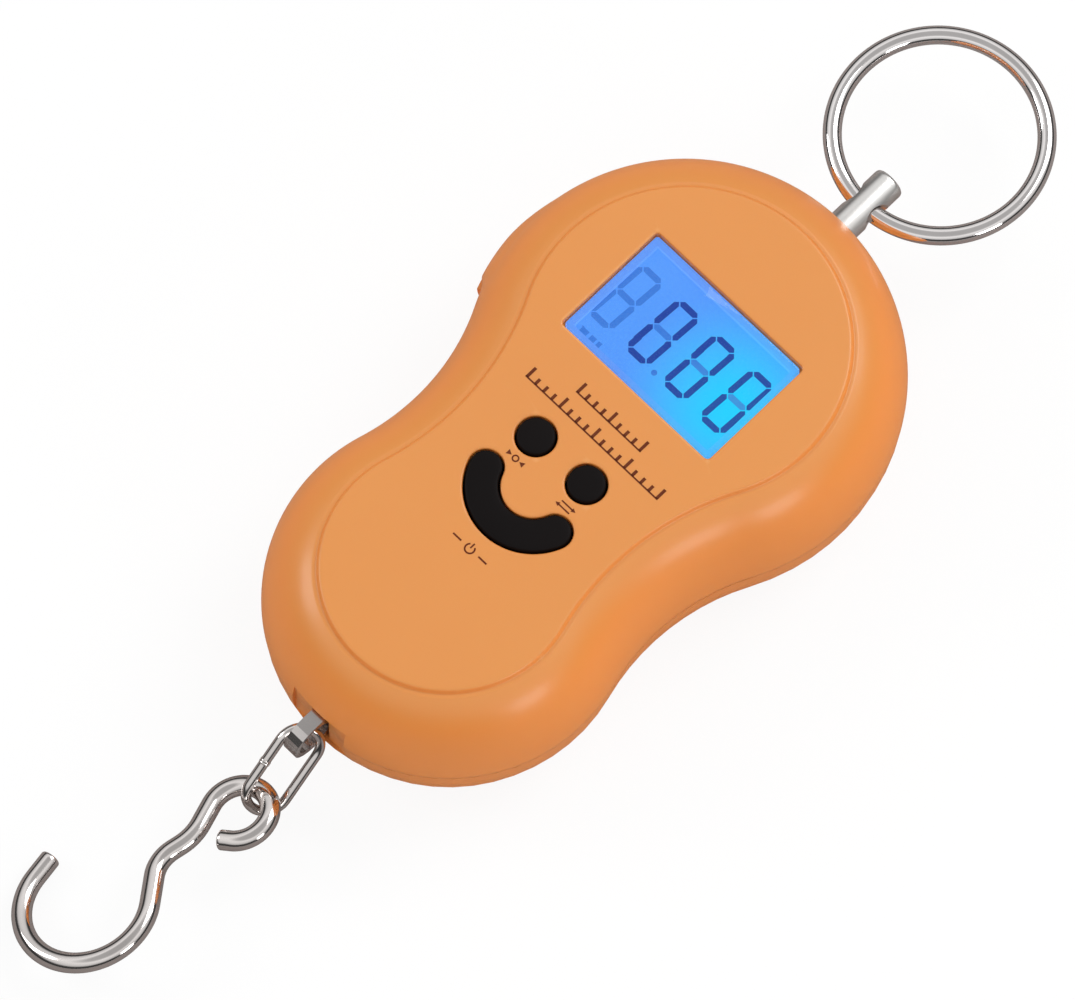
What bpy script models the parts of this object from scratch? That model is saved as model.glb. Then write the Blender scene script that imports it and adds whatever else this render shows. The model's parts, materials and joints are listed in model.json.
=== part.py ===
"""Digital fish scale: a gourd-shaped case with a hanging ring on top and an open hook below.

Everything is in metres. The case lies on its back: +Z points out of the face, +Y runs from the
hook to the ring and +X is the viewer's right. The origin is on the flat back, midway between the
two lower case screws.
"""

import math

import bmesh
import bpy
from mathutils import Matrix, Vector

# ---- Fits ---------------------------------------------------------------------------------
GAP = 0.0003  # between pieces that rest on or fit in each other
TRAVEL = 0.0005  # how far a button goes down

# ---- Case outline: two round lobes joined by a concave waist ---------------------------------
LOWER_LOBE_Y = 0.0125
LOBE_SPACING = 0.0447
UPPER_RADIUS = 0.0298
LOWER_RADIUS = 0.0250
WAIST_RADIUS = 0.0333

# ---- Case section -----------------------------------------------------------------------------
WALL = 0.0022
PARTING_Z = 0.0128  # seam between the covers, and height of the load line
RIM_WIDTH = 0.0073  # outline to the raised face
RIM_TURN = math.radians(75)  # how much of a quarter ellipse the rim rolls through
FACE_RISE = 0.0006
FACE_EDGE = 0.0005
BACK_EDGE = 0.0060  # outline to the flat back
LIP_INSET = 0.0010
LIP_HEIGHT = 0.0018
PAD_RISE = 0.0008  # small thickened pad on the left edge
PAD_ROOT = 0.00015  # how far its ends dip into the edge
PAD_TURN = math.radians(32)  # how far it goes up and down the roll
PAD_FROM = math.radians(171)
PAD_TO = math.radians(201)
PAD_FADE = 0.6  # share of its length over which it swells
NOTCH_WIDTH = 0.0096
NOTCH_DEPTH = 0.0010
NOTCH_HEIGHT = 0.0090

# ---- Display -----------------------------------------------------------------------------------
DISPLAY_RISE = -0.0008  # display centre above the upper lobe's centre
DISPLAY_WIDTH = 0.0274
DISPLAY_HEIGHT = 0.0182
WINDOW_THICKNESS = 0.0009
WINDOW_SINK = 0.0003
WINDOW_LEDGE = 0.0010
GLASS_BORDER = 0.0014
GLASS_THICKNESS = 0.0020
BACKLIGHT_THICKNESS = 0.0013
ZEBRA_WIDTH = 0.0018

# ---- Buttons -----------------------------------------------------------------------------------
BUTTON_DROP = 0.0228  # round buttons below the display's centre
BUTTON_SPACING = 0.00945
BUTTON_RADIUS = 0.00258
BUTTON_PROUD = 0.0004
FLANGE_GROWTH = 0.0008
FLANGE_THICKNESS = 0.0005
SMILE_DROP = 0.0052  # centre of the smile's arc below the round buttons
SMILE_RADIUS = 0.0069
SMILE_BAND = 0.0044
SMILE_HALF_ANGLE = math.radians(69)
SWITCH_SIZE = 0.0045
SWITCH_HEIGHT = 0.0020
PLUNGER_RADIUS = 0.0010

# ---- Circuit board -------------------------------------------------------------------------------
BOARD_ROOM = 0.0020  # between the load cell and the board
BOARD_THICKNESS = 0.0016
BOARD_SIDE_ROOM = 0.0036
BOARD_END = 0.0046
BOARD_BOSS_RADIUS = 0.0024
BOARD_SCREW_RADIUS = 0.0009
BOARD_SCREW_HEAD = 0.0018
BOARD_SCREW_LENGTH = 0.0040
BLOB_RADIUS = 0.0050
BLOB_HEIGHT = 0.0013
CRYSTAL_RADIUS = 0.0010
CRYSTAL_LENGTH = 0.0060
CAPACITOR_SIZE = (0.0032, 0.0016, 0.0014)

# ---- Load cell, rod and pin --------------------------------------------------------------------
CELL_PLATE = 0.0022  # thickness of the steel plate
CELL_PLATE_DEPTH = 0.0074
TAB_HOLE_DROP = 0.00125  # tab hole below the case's lower end
TAB_HOLE_RADIUS = 0.0027
TAB_RADIUS = 0.0036
FLEXURE_WINDOW = 0.0120  # length of the window between the two beams
FLEXURE_BEAM = 0.0014
FLEXURE_SLOT = 0.0008
GAUGE_SIZE = (0.0003, 0.0070, 0.0030)
GAUGE_RISE = 0.0160  # gauges above the middle of the flexure
ROD_RADIUS = 0.00235
ROD_REACH = 0.0095  # rod tip above the case's top
ROD_HOLE_REACH = 0.0044  # ring hole above the case's top
ROD_HOLE_RADIUS = 0.00175
CLEVIS_RADIUS = 0.0040
CLEVIS_LENGTH = 0.0092
CLEVIS_FLOOR = 0.0022
PIN_RADIUS = 0.0010
EAR_RADIUS = 0.0026

# ---- Ring, link and hook -------------------------------------------------------------------------
RING_RADIUS = 0.0145  # to the middle of its wire
RING_WIRE = 0.0026
RING_DROOP = math.radians(0.5)
LINK_WIRE = 0.0014
LINK_WIDTH = 0.0060  # across, to the middle of its wire
LINK_LENGTH = 0.0136
LINK_DROP = 0.0072  # how far its lower end lies below its upper end
LINK_LEAN = 0.0010  # how far its lower end lies to the right
LINK_LIFT = 0.0004  # its wire above and behind the middle of the tab's hole
LINK_TWIST = math.radians(44)
HOOK_WIRE = 0.0028
HOOK_EYE_RADIUS = 0.0043
HOOK_SEAT = 0.0025  # hook wire's middle to the link wire's middle
HOOK_EYE_FROM = math.radians(42)  # where the eye's wire starts
HOOK_EYE_TURN = math.radians(258)
HOOK_FREE_END = 0.0016  # straight wire before the eye
HOOK_THROAT = 0.0032  # straight wire after the eye
HOOK_NECK_RADIUS = 0.0070
HOOK_NECK_TURN = math.radians(33)
HOOK_NECK_RUN = 0.0012  # straight wire between the neck's two bends
HOOK_KICK_RADIUS = 0.0050
HOOK_KICK_TURN = math.radians(53)
HOOK_SHANK = 0.0042
HOOK_BOWL_RADIUS = 0.0089
HOOK_BOWL_TURN = math.radians(210)
HOOK_TIP = 0.0035  # straight wire at the tip
HOOK_YAW = math.radians(9.8)
HOOK_TILT = math.radians(4)
HOOK_ROLL = math.radians(20)

# ---- Batteries (AAA) and their bay -----------------------------------------------------------------
BATTERY_RADIUS = 0.00525
BATTERY_LENGTH = 0.0445
BATTERY_NUB = 0.0012
BATTERY_NUB_RADIUS = 0.0019
BATTERY_MID_Y = 0.03225
BAY_WALL = 0.0008
BAY_ROOF = 0.0010
CHANNEL_ROOM = 0.0009  # bay wall to the load cell's side
CONTACT_THICKNESS = 0.0004
CONTACT_SIZE = 0.0080
SPRING_LENGTH = 0.0022
SPRING_WIRE = 0.0005
SPRING_TURNS = 2.5

# ---- Battery door -----------------------------------------------------------------------------------
DOOR_THICKNESS = 0.0015
DOOR_MARGIN = 0.0010
DOOR_SINK = 0.00025
DOOR_RECESS = 0.0020
DOOR_FRAME = 0.0032
FRAME_MARGIN = 0.0012
HINGE_RADIUS = 0.0012
STUB_RADIUS = 0.0007
STUB_LENGTH = 0.0013
TONGUE_WIDTH = 0.0088
TONGUE_LENGTH = 0.0026

# ---- Case screws ----------------------------------------------------------------------------------
SCREW_HEAD_RADIUS = 0.0026
SCREW_HEAD_HEIGHT = 0.0018
SCREW_RADIUS = 0.00125
SCREW_BITE = 0.0045
COUNTERBORE_DEPTH = 0.0050
BACK_BOSS_WALL = 0.0013
FRONT_BOSS_RADIUS = 0.0030
FRONT_BOSS_HEIGHT = 0.0065

# ---- Leads ----------------------------------------------------------------------------------------
LEAD_DIAMETER = 0.0011
GAUGE_CABLE_DIAMETER = 0.0011
GAUGE_CABLE_STEPS = ((0.002, 0.003), (0.005, 0.006), (0.006, 0.010))  # each knot's run and drop

# ---- Places that follow from the sizes -----------------------------------------------------------
UPPER_LOBE_Y = LOWER_LOBE_Y + LOBE_SPACING
CASE_TOP_Y = UPPER_LOBE_Y + UPPER_RADIUS
CASE_BOTTOM_Y = LOWER_LOBE_Y - LOWER_RADIUS

BOARD_BOTTOM_Z = PARTING_Z + CELL_PLATE_DEPTH / 2 + BOARD_ROOM
BOARD_TOP_Z = BOARD_BOTTOM_Z + BOARD_THICKNESS
BACKLIGHT_Z = BOARD_TOP_Z + GAP
GLASS_Z = BACKLIGHT_Z + BACKLIGHT_THICKNESS + GAP
CEILING_Z = GLASS_Z + GLASS_THICKNESS + GAP
FACE_Z = CEILING_Z + WALL

DISPLAY_Y = UPPER_LOBE_Y + DISPLAY_RISE
BUTTON_Y = DISPLAY_Y - BUTTON_DROP
SMILE_Y = BUTTON_Y - SMILE_DROP
POWER_SWITCH_Y = SMILE_Y - SMILE_RADIUS
GLASS_WIDTH = DISPLAY_WIDTH + 2 * GLASS_BORDER
GLASS_HEIGHT = DISPLAY_HEIGHT + 2 * GLASS_BORDER

BATTERY_X = CELL_PLATE / 2 + CHANNEL_ROOM + BAY_WALL + GAP + BATTERY_RADIUS
BATTERY_Z = DOOR_RECESS + GAP + BATTERY_RADIUS
BAY_OUTER_X = BATTERY_X + BATTERY_RADIUS + GAP
BAY_LENGTH = BATTERY_LENGTH + SPRING_LENGTH + 2 * CONTACT_THICKNESS + 5 * GAP
BAY_LOW_Y = BATTERY_MID_Y - BAY_LENGTH / 2
BAY_HIGH_Y = BATTERY_MID_Y + BAY_LENGTH / 2
BAY_CEILING_Z = BATTERY_Z + BATTERY_RADIUS + GAP
BAY_TOP_Z = BAY_CEILING_Z + BAY_ROOF

DOOR_HALF_WIDTH = BAY_OUTER_X + DOOR_MARGIN
HINGE_Y = BAY_HIGH_Y + BAY_WALL + GAP + HINGE_RADIUS
HINGE_Z = DOOR_SINK + HINGE_RADIUS
DOOR_LOW_Y = BAY_LOW_Y - DOOR_MARGIN
RECESS_LOW_Y = DOOR_LOW_Y - GAP
RECESS_HIGH_Y = HINGE_Y + HINGE_RADIUS + GAP

TAB_HOLE_Y = CASE_BOTTOM_Y - TAB_HOLE_DROP
CLEVIS_TOP_Y = CASE_TOP_Y - WALL - 3 * GAP
CLEVIS_LOW_Y = CLEVIS_TOP_Y - CLEVIS_LENGTH
PIN_Y = CLEVIS_TOP_Y - CLEVIS_FLOOR - EAR_RADIUS - GAP - PIN_RADIUS
ROD_HOLE_Y = CASE_TOP_Y + ROD_HOLE_REACH
COUNTERBORE_RADIUS = SCREW_HEAD_RADIUS + GAP
CASE_SCREW_INSET = BACK_EDGE + COUNTERBORE_RADIUS + GAP


def outline_arcs():
    """The case outline's arcs on its right side: (centre, radius, from, to, outward sign, steps)."""
    upper_reach = UPPER_RADIUS + WAIST_RADIUS
    lower_reach = LOWER_RADIUS + WAIST_RADIUS
    along = (LOBE_SPACING**2 + lower_reach**2 - upper_reach**2) / (2 * LOBE_SPACING)
    waist = Vector((math.sqrt(lower_reach**2 - along**2), LOWER_LOBE_Y + along))
    upper = Vector((0.0, UPPER_LOBE_Y))
    lower = Vector((0.0, LOWER_LOBE_Y))
    to_upper = math.atan2(waist.y - upper.y, waist.x)
    to_lower = math.atan2(waist.y - lower.y, waist.x)
    quarter = math.pi / 2
    return (
        (lower, LOWER_RADIUS, -quarter, to_lower, 1, 16),
        (waist, WAIST_RADIUS, math.pi + to_lower, math.pi + to_upper, -1, 10),
        (upper, UPPER_RADIUS, to_upper, quarter, 1, 20),
    )


def case_outline(inset):
    """The case outline, moved in by inset, as a closed anticlockwise list of (x, y)."""
    right = []
    for centre, radius, start, end, sign, steps in outline_arcs():
        reach = radius - sign * inset
        for step in range(steps):
            angle = start + (end - start) * step / steps
            right.append((centre.x + reach * math.cos(angle), centre.y + reach * math.sin(angle)))
    right.append((0.0, UPPER_LOBE_Y + UPPER_RADIUS - inset))
    left = [(-x, y) for x, y in reversed(right[1:-1])]
    return right + left


def waist_half_width():
    """Half the width of the case at the narrowest part of its waist."""
    return min(abs(x) for x, y in case_outline(0.0) if LOWER_LOBE_Y < y < UPPER_LOBE_Y)


# ---- Making meshes ----------------------------------------------------------------------------
def finish(name, colour, roughness, metallic=0.0):
    """A plain material for one sub-part."""
    material = bpy.data.materials.new(name)
    material.use_nodes = True
    shader = material.node_tree.nodes["Principled BSDF"]
    shader.inputs["Base Color"].default_value = (*colour, 1.0)
    shader.inputs["Roughness"].default_value = roughness
    shader.inputs["Metallic"].default_value = metallic
    material.diffuse_color = (*colour, 1.0)
    return material


def place(name, data, material, location=(0, 0, 0), rotation=None):
    """Links an object made of data into the scene and dresses it."""
    piece = bpy.data.objects.new(name, data)
    bpy.context.scene.collection.objects.link(piece)
    if material is not None:
        data.materials.append(material)
    turn = rotation.to_4x4() if rotation is not None else Matrix.Identity(4)
    piece.matrix_world = Matrix.Translation(location) @ turn
    return piece


def mesh_of(name, bm, sharp_degrees=35):
    """Turns a bmesh into a mesh with faces out and smooth round sides."""
    bmesh.ops.recalc_face_normals(bm, faces=bm.faces)
    mesh = bpy.data.meshes.new(name)
    bm.to_mesh(mesh)
    bm.free()
    mesh.shade_smooth()
    mesh.set_sharp_from_angle(angle=math.radians(sharp_degrees))
    return mesh


def stack_mesh(name, loops):
    """A closed skin over loops of equal length, with the first and the last filled."""
    bm = bmesh.new()
    rings = [[bm.verts.new(point) for point in loop] for loop in loops]
    for low, high in zip(rings, rings[1:]):
        for i in range(len(low)):
            j = (i + 1) % len(low)
            bm.faces.new((low[i], low[j], high[j], high[i]))
    bm.faces.new(rings[0])
    bm.faces.new(rings[-1])
    return mesh_of(name, bm)


def prism_mesh(name, outline, low, high):
    """An outline in X and Y, raised from low to high."""
    return stack_mesh(name, [[(x, y, z) for x, y in outline] for z in (low, high)])


def box_mesh(name, low, high):
    """A box between two corners."""
    outline = [(low[0], low[1]), (high[0], low[1]), (high[0], high[1]), (low[0], high[1])]
    return prism_mesh(name, outline, low[2], high[2])


def turned_mesh(name, profile, sides=24):
    """A turned piece about Z, from a profile of (radius, height) that starts and ends off the axis."""
    loops = []
    for radius, height in profile:
        angles = [2 * math.pi * i / sides for i in range(sides)]
        loops.append([(radius * math.cos(a), radius * math.sin(a), height) for a in angles])
    return stack_mesh(name, loops)


def arc_points(centre, radius, start, end, steps):
    """Points along an arc, both ends included."""
    angles = [start + (end - start) * i / steps for i in range(steps + 1)]
    return [(centre[0] + radius * math.cos(a), centre[1] + radius * math.sin(a)) for a in angles]


def wire(name, points, diameter, material, closed=False, level=3, location=(0, 0, 0), rotation=None):
    """A round wire along points."""
    curve = bpy.data.curves.new(name, "CURVE")
    curve.dimensions = "3D"
    curve.bevel_depth = diameter / 2
    curve.bevel_resolution = level
    curve.use_fill_caps = not closed
    spline = curve.splines.new("POLY")
    spline.points.add(len(points) - 1)
    for spot, point in zip(spline.points, points):
        spot.co = (*point, 1.0)
    spline.use_cyclic_u = closed
    return place(name, curve, material, location, rotation)


def work(target, operation, data, location=(0, 0, 0), rotation=None):
    """Cuts a tool shape out of target, or adds it: operation is DIFFERENCE or UNION."""
    tool = place("tool_" + data.name, data, None, location, rotation)
    tool.hide_render = True
    tool.display_type = "WIRE"
    modifier = target.modifiers.new(tool.name, "BOOLEAN")
    modifier.operation = operation
    modifier.solver = "EXACT"
    modifier.object = tool
    return tool


def along_x():
    """Turns a shape that stands on Z so that it lies on X."""
    return Matrix.Rotation(math.pi / 2, 3, "Y")


def along_y():
    """Turns a shape that stands on Z so that it lies on Y, pointing up the case."""
    return Matrix.Rotation(-math.pi / 2, 3, "X")


def rod_tool(name, radius, length, sides=20):
    """A plain round bar on Z, centred."""
    return turned_mesh(name, [(radius, -length / 2), (radius, length / 2)], sides)


# ---- Covers -------------------------------------------------------------------------------------
def rim_rows(inset, low_z, high_z, width, steps):
    """The rim's roll as (inset, height) rows, from the seam up to the face."""
    reach = width / (1 - math.cos(RIM_TURN))
    rise = (high_z - low_z) / math.sin(RIM_TURN)
    rows = []
    for step in range(steps + 1):
        turn = RIM_TURN * step / steps
        rows.append((inset + reach * (1 - math.cos(turn)), low_z + rise * math.sin(turn)))
    return rows


def cover_mesh(name, rows):
    """A cup-shaped cover whose skin follows the case outline at each (inset, height) row."""
    return stack_mesh(name, [[(x, y, z) for x, y in case_outline(inset)] for inset, z in rows])


def rim_point(turn, above):
    """(inset, height) of the case's skin where its roll has turned by turn, above or below the seam."""
    if above:
        reach = RIM_WIDTH / (1 - math.cos(RIM_TURN))
        rise = (FACE_Z - FACE_RISE - PARTING_Z) / math.sin(RIM_TURN)
    else:
        reach, rise = BACK_EDGE, -PARTING_Z
    return reach * (1 - math.cos(turn)), PARTING_Z + rise * math.sin(turn)


def edge_pad_mesh(name, above):
    """One cover's half of the small thickened pad on the left edge of the upper lobe.

    It fades into the edge at its upper end and away from the seam, and ends in a step below.
    """
    centre = (0.0, UPPER_LOBE_Y)
    steps, levels = 14, 5
    loops = []
    for level in range(levels + 1):
        share = level / levels
        inset, z = rim_point(PAD_TURN * share, above)
        if level == 0:
            z += GAP / 2 if above else -GAP / 2
        swell = PAD_RISE * math.cos(share * math.pi / 2)
        outer = []
        for step in range(steps + 1):
            along = step / steps
            angle = PAD_FROM + (PAD_TO - PAD_FROM) * along
            fade = math.sin(min(1.0, along / PAD_FADE) * math.pi / 2)
            reach = UPPER_RADIUS - inset - PAD_ROOT + (swell + PAD_ROOT) * fade
            outer.append((reach * math.cos(angle), centre[1] + reach * math.sin(angle)))
        root = UPPER_RADIUS - inset - LIP_INSET / 2
        inner = arc_points(centre, root, PAD_TO, PAD_FROM, steps)
        loops.append([(x, y, z) for x, y in outer + inner])
    return stack_mesh(name, loops if above else loops[::-1])


def cut_openings_at_ends(cover):
    """Cuts where the rod and the load cell pass through the case's ends."""
    bar = rod_tool("rod_way", ROD_RADIUS + GAP, 4 * WALL)
    work(cover, "DIFFERENCE", bar, (0, CASE_TOP_Y, PARTING_Z), along_y())
    half_width = CELL_PLATE / 2 + GAP + GAP / 2
    half_height = TAB_RADIUS + 2 * GAP
    low = (-half_width, CASE_BOTTOM_Y - WALL, PARTING_Z - half_height)
    high = (half_width, CASE_BOTTOM_Y + 3 * WALL, PARTING_Z + half_height)
    work(cover, "DIFFERENCE", box_mesh("tab_way", low, high))
    low = (-NOTCH_WIDTH / 2, CASE_BOTTOM_Y - WALL, PARTING_Z - NOTCH_HEIGHT / 2)
    high = (NOTCH_WIDTH / 2, CASE_BOTTOM_Y + NOTCH_DEPTH, PARTING_Z + NOTCH_HEIGHT / 2)
    work(cover, "DIFFERENCE", box_mesh("end_notch", low, high))


def case_screw_places():
    """Where the four case screws stand, the two lower ones level with the origin."""
    upper_x = UPPER_RADIUS - CASE_SCREW_INSET
    lower_x = math.sqrt((LOWER_RADIUS - CASE_SCREW_INSET) ** 2 - LOWER_LOBE_Y**2)
    return (
        (-lower_x, 0.0),
        (lower_x, 0.0),
        (-upper_x, UPPER_LOBE_Y),
        (upper_x, UPPER_LOBE_Y),
    )


def board_screw_places():
    """Where the four board screws stand: above the display and beside the power switch."""
    upper_y = DISPLAY_Y + GLASS_HEIGHT / 2 + GAP + BOARD_BOSS_RADIUS
    lower_x = board_half_width() - BOARD_BOSS_RADIUS - 4 * GAP
    lower_y = POWER_SWITCH_Y - 4 * GAP
    upper_x = GLASS_WIDTH / 2 - BOARD_BOSS_RADIUS
    return ((-lower_x, lower_y), (lower_x, lower_y), (-upper_x, upper_y), (upper_x, upper_y))


def board_half_width():
    """Half the board's width, which the waist limits."""
    return waist_half_width() - WALL - BOARD_SIDE_ROOM


def front_cover(material):
    """The orange front cover, with its raised face and its openings."""
    outer = rim_rows(0.0, PARTING_Z, FACE_Z - FACE_RISE, RIM_WIDTH, 8)
    outer[0] = (0.0, PARTING_Z + GAP / 2)
    inner_base = PARTING_Z + LIP_HEIGHT + 2 * GAP
    inner = rim_rows(WALL, inner_base, CEILING_Z, RIM_WIDTH - WALL / 2, 4)
    rows = [(RIM_WIDTH + FACE_EDGE, FACE_Z)]
    rows += reversed(outer)
    rows += [(LIP_INSET, PARTING_Z + GAP / 2), (LIP_INSET, inner_base)]
    rows += inner
    cover = place("front_cover", cover_mesh("front_cover", rows), material)
    work(cover, "UNION", edge_pad_mesh("front_pad", True))
    add_front_bosses(cover)
    cut_display_opening(cover)
    cut_button_openings(cover)
    cut_openings_at_ends(cover)
    return cover


def add_front_bosses(cover):
    """Bosses that take the case screws and, under the face, the board screws."""
    for index, (x, y) in enumerate(case_screw_places()):
        base = PARTING_Z + GAP / 2 + GAP / 3
        profile = [(FRONT_BOSS_RADIUS, base), (FRONT_BOSS_RADIUS, base + FRONT_BOSS_HEIGHT)]
        profile.append((FRONT_BOSS_RADIUS / 2, CEILING_Z + WALL / 4))
        work(cover, "UNION", turned_mesh(f"front_boss_{index}", profile, 16), (x, y, 0))
    for index, (x, y) in enumerate(board_screw_places()):
        low, high = BOARD_TOP_Z + GAP, CEILING_Z + WALL / 4
        profile = [(BOARD_BOSS_RADIUS, low), (BOARD_BOSS_RADIUS, high)]
        work(cover, "UNION", turned_mesh(f"board_boss_{index}", profile, 14), (x, y, 0))
    for index, (x, y) in enumerate(case_screw_places()):
        depth = SCREW_BITE + 2 * GAP
        pilot = rod_tool(f"case_pilot_{index}", SCREW_RADIUS + GAP, 2 * depth, 12)
        work(cover, "DIFFERENCE", pilot, (x, y, PARTING_Z))
    for index, (x, y) in enumerate(board_screw_places()):
        depth = CEILING_Z - BOARD_TOP_Z - 2 * GAP
        pilot = rod_tool(f"board_pilot_{index}", BOARD_SCREW_RADIUS + GAP, 2 * depth, 10)
        work(cover, "DIFFERENCE", pilot, (x, y, BOARD_TOP_Z))


def cut_display_opening(cover):
    """The window's seat in the face, and the smaller opening behind it."""
    half = Vector((DISPLAY_WIDTH / 2, DISPLAY_HEIGHT / 2))
    seat_z = FACE_Z - WINDOW_SINK - WINDOW_THICKNESS - GAP
    low = (-half.x, DISPLAY_Y - half.y, seat_z)
    high = (half.x, DISPLAY_Y + half.y, FACE_Z + WALL)
    work(cover, "DIFFERENCE", box_mesh("window_seat", low, high))
    low = (-half.x + WINDOW_LEDGE, DISPLAY_Y - half.y + WINDOW_LEDGE, CEILING_Z - WALL)
    high = (half.x - WINDOW_LEDGE, DISPLAY_Y + half.y - WINDOW_LEDGE, FACE_Z + WALL)
    work(cover, "DIFFERENCE", box_mesh("window_way", low, high))


def round_button_places():
    """(name, x) of the two round buttons."""
    return (("tare", -BUTTON_SPACING / 2), ("unit", BUTTON_SPACING / 2))


def smile_outline(growth):
    """The smile-shaped band, grown by growth, about its arc's centre at the origin."""
    half = SMILE_BAND / 2 + growth
    down = -math.pi / 2
    start, end = down - SMILE_HALF_ANGLE, down + SMILE_HALF_ANGLE
    points = arc_points((0, 0), SMILE_RADIUS + half, start, end, 18)
    tip = (SMILE_RADIUS * math.cos(end), SMILE_RADIUS * math.sin(end))
    points += arc_points(tip, half, end, end + math.pi, 8)[1:]
    points += arc_points((0, 0), SMILE_RADIUS - half, end, start, 12)[1:]
    tip = (SMILE_RADIUS * math.cos(start), SMILE_RADIUS * math.sin(start))
    points += arc_points(tip, half, start + math.pi, start + 2 * math.pi, 8)[1:-1]
    return points


def cut_button_openings(cover):
    """Openings for the two round buttons and the smile."""
    for name, x in round_button_places():
        bar = rod_tool(f"{name}_way", BUTTON_RADIUS + GAP, 4 * WALL, 24)
        work(cover, "DIFFERENCE", bar, (x, BUTTON_Y, FACE_Z))
    band = prism_mesh("power_way", smile_outline(GAP), CEILING_Z - WALL, FACE_Z + WALL)
    work(cover, "DIFFERENCE", band, (0, SMILE_Y, 0))


def back_cover(material):
    """The orange back cover, with its lip, battery bays, door seat and screw bosses."""
    rows = []
    for step in range(7):
        turn = math.pi / 2 * (1 - step / 7)
        rows.append((BACK_EDGE * (1 - math.cos(turn)), PARTING_Z * (1 - math.sin(turn))))
    rows.append((0.0, PARTING_Z - GAP / 2))
    rows.append((LIP_INSET + GAP, PARTING_Z - GAP / 2))
    rows.append((LIP_INSET + GAP, PARTING_Z + LIP_HEIGHT))
    rows.append((WALL, PARTING_Z + LIP_HEIGHT))
    for step in range(4):
        turn = math.pi / 2 * step / 3
        drop = (PARTING_Z - GAP / 2 - WALL) * math.sin(turn)
        rows.append((WALL + BACK_EDGE * (1 - math.cos(turn)), PARTING_Z - GAP / 2 - drop))
    cover = place("back_cover", cover_mesh("back_cover", rows), material)
    work(cover, "UNION", edge_pad_mesh("back_pad", False))
    add_battery_bays(cover)
    add_back_bosses(cover)
    cut_door_seat(cover)
    cut_openings_at_ends(cover)
    return cover


def add_battery_bays(cover):
    """Two open-bottomed bays with a channel between them that the load cell runs through."""
    frame_x = DOOR_HALF_WIDTH + GAP + FRAME_MARGIN
    low = (-frame_x, RECESS_LOW_Y - TONGUE_LENGTH - 3 * GAP, WALL / 4)
    high = (frame_x, RECESS_HIGH_Y + FRAME_MARGIN, DOOR_FRAME)
    work(cover, "UNION", box_mesh("door_frame", low, high))
    hinge_x = DOOR_HALF_WIDTH + STUB_LENGTH + FRAME_MARGIN + GAP
    low = (-hinge_x, HINGE_Y - 2 * HINGE_RADIUS, WALL / 3)
    high = (hinge_x, RECESS_HIGH_Y + 2 * FRAME_MARGIN, HINGE_Z + 2 * HINGE_RADIUS)
    work(cover, "UNION", box_mesh("hinge_block", low, high))
    outer = BAY_OUTER_X + BAY_WALL
    low = (-outer, BAY_LOW_Y - BAY_WALL, WALL / 2)
    high = (outer, BAY_HIGH_Y + BAY_WALL, BAY_TOP_Z)
    work(cover, "UNION", box_mesh("bay_block", low, high))
    channel = CELL_PLATE / 2 + CHANNEL_ROOM
    low = (-channel, BAY_LOW_Y - 2 * BAY_WALL, PARTING_Z - CELL_PLATE_DEPTH / 2 - 2 * GAP)
    high = (channel, BAY_HIGH_Y + 2 * BAY_WALL, BAY_TOP_Z + BAY_ROOF)
    work(cover, "DIFFERENCE", box_mesh("cell_channel", low, high))
    for index, side in enumerate((-1, 1)):
        near, far = sorted((side * (channel + BAY_WALL), side * BAY_OUTER_X))
        low = (near, BAY_LOW_Y, -WALL)
        high = (far, BAY_HIGH_Y, BAY_CEILING_Z)
        work(cover, "DIFFERENCE", box_mesh(f"bay_{index}", low, high))


def add_back_bosses(cover):
    """Bosses for the case screws, counterbored from the back."""
    top = PARTING_Z - GAP
    for index, (x, y) in enumerate(case_screw_places()):
        radius = COUNTERBORE_RADIUS + BACK_BOSS_WALL
        profile = [(radius, WALL / 2), (radius, COUNTERBORE_DEPTH + WALL)]
        profile += [(FRONT_BOSS_RADIUS, COUNTERBORE_DEPTH + 2 * WALL), (FRONT_BOSS_RADIUS, top)]
        work(cover, "UNION", turned_mesh(f"back_boss_{index}", profile, 18), (x, y, 0))
    for index, (x, y) in enumerate(case_screw_places()):
        bore = rod_tool(f"counterbore_{index}", COUNTERBORE_RADIUS, 2 * COUNTERBORE_DEPTH, 18)
        work(cover, "DIFFERENCE", bore, (x, y, 0))
        hole = rod_tool(f"screw_way_{index}", SCREW_RADIUS + GAP, 3 * PARTING_Z, 12)
        work(cover, "DIFFERENCE", hole, (x, y, PARTING_Z))


def cut_door_seat(cover):
    """The door's recess, its hinge groove and stub holes, and the tongue's finger notch."""
    half = DOOR_HALF_WIDTH + GAP
    low = (-half, RECESS_LOW_Y, -WALL)
    high = (half, RECESS_HIGH_Y, DOOR_RECESS)
    work(cover, "DIFFERENCE", box_mesh("door_recess", low, high))
    low = (-half, HINGE_Y - HINGE_RADIUS - GAP, -WALL)
    high = (half, RECESS_HIGH_Y, HINGE_Z + HINGE_RADIUS + GAP)
    work(cover, "DIFFERENCE", box_mesh("hinge_groove", low, high))
    length = 2 * (DOOR_HALF_WIDTH + STUB_LENGTH + GAP)
    bar = rod_tool("stub_way", STUB_RADIUS + GAP, length, 12)
    work(cover, "DIFFERENCE", bar, (0, HINGE_Y, HINGE_Z), along_x())
    half = TONGUE_WIDTH / 2 + GAP
    low = (-half, DOOR_LOW_Y - TONGUE_LENGTH - GAP, -WALL)
    high = (half, BAY_LOW_Y - BAY_WALL / 2, DOOR_RECESS - GAP / 3)
    work(cover, "DIFFERENCE", box_mesh("finger_notch", low, high))


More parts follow.
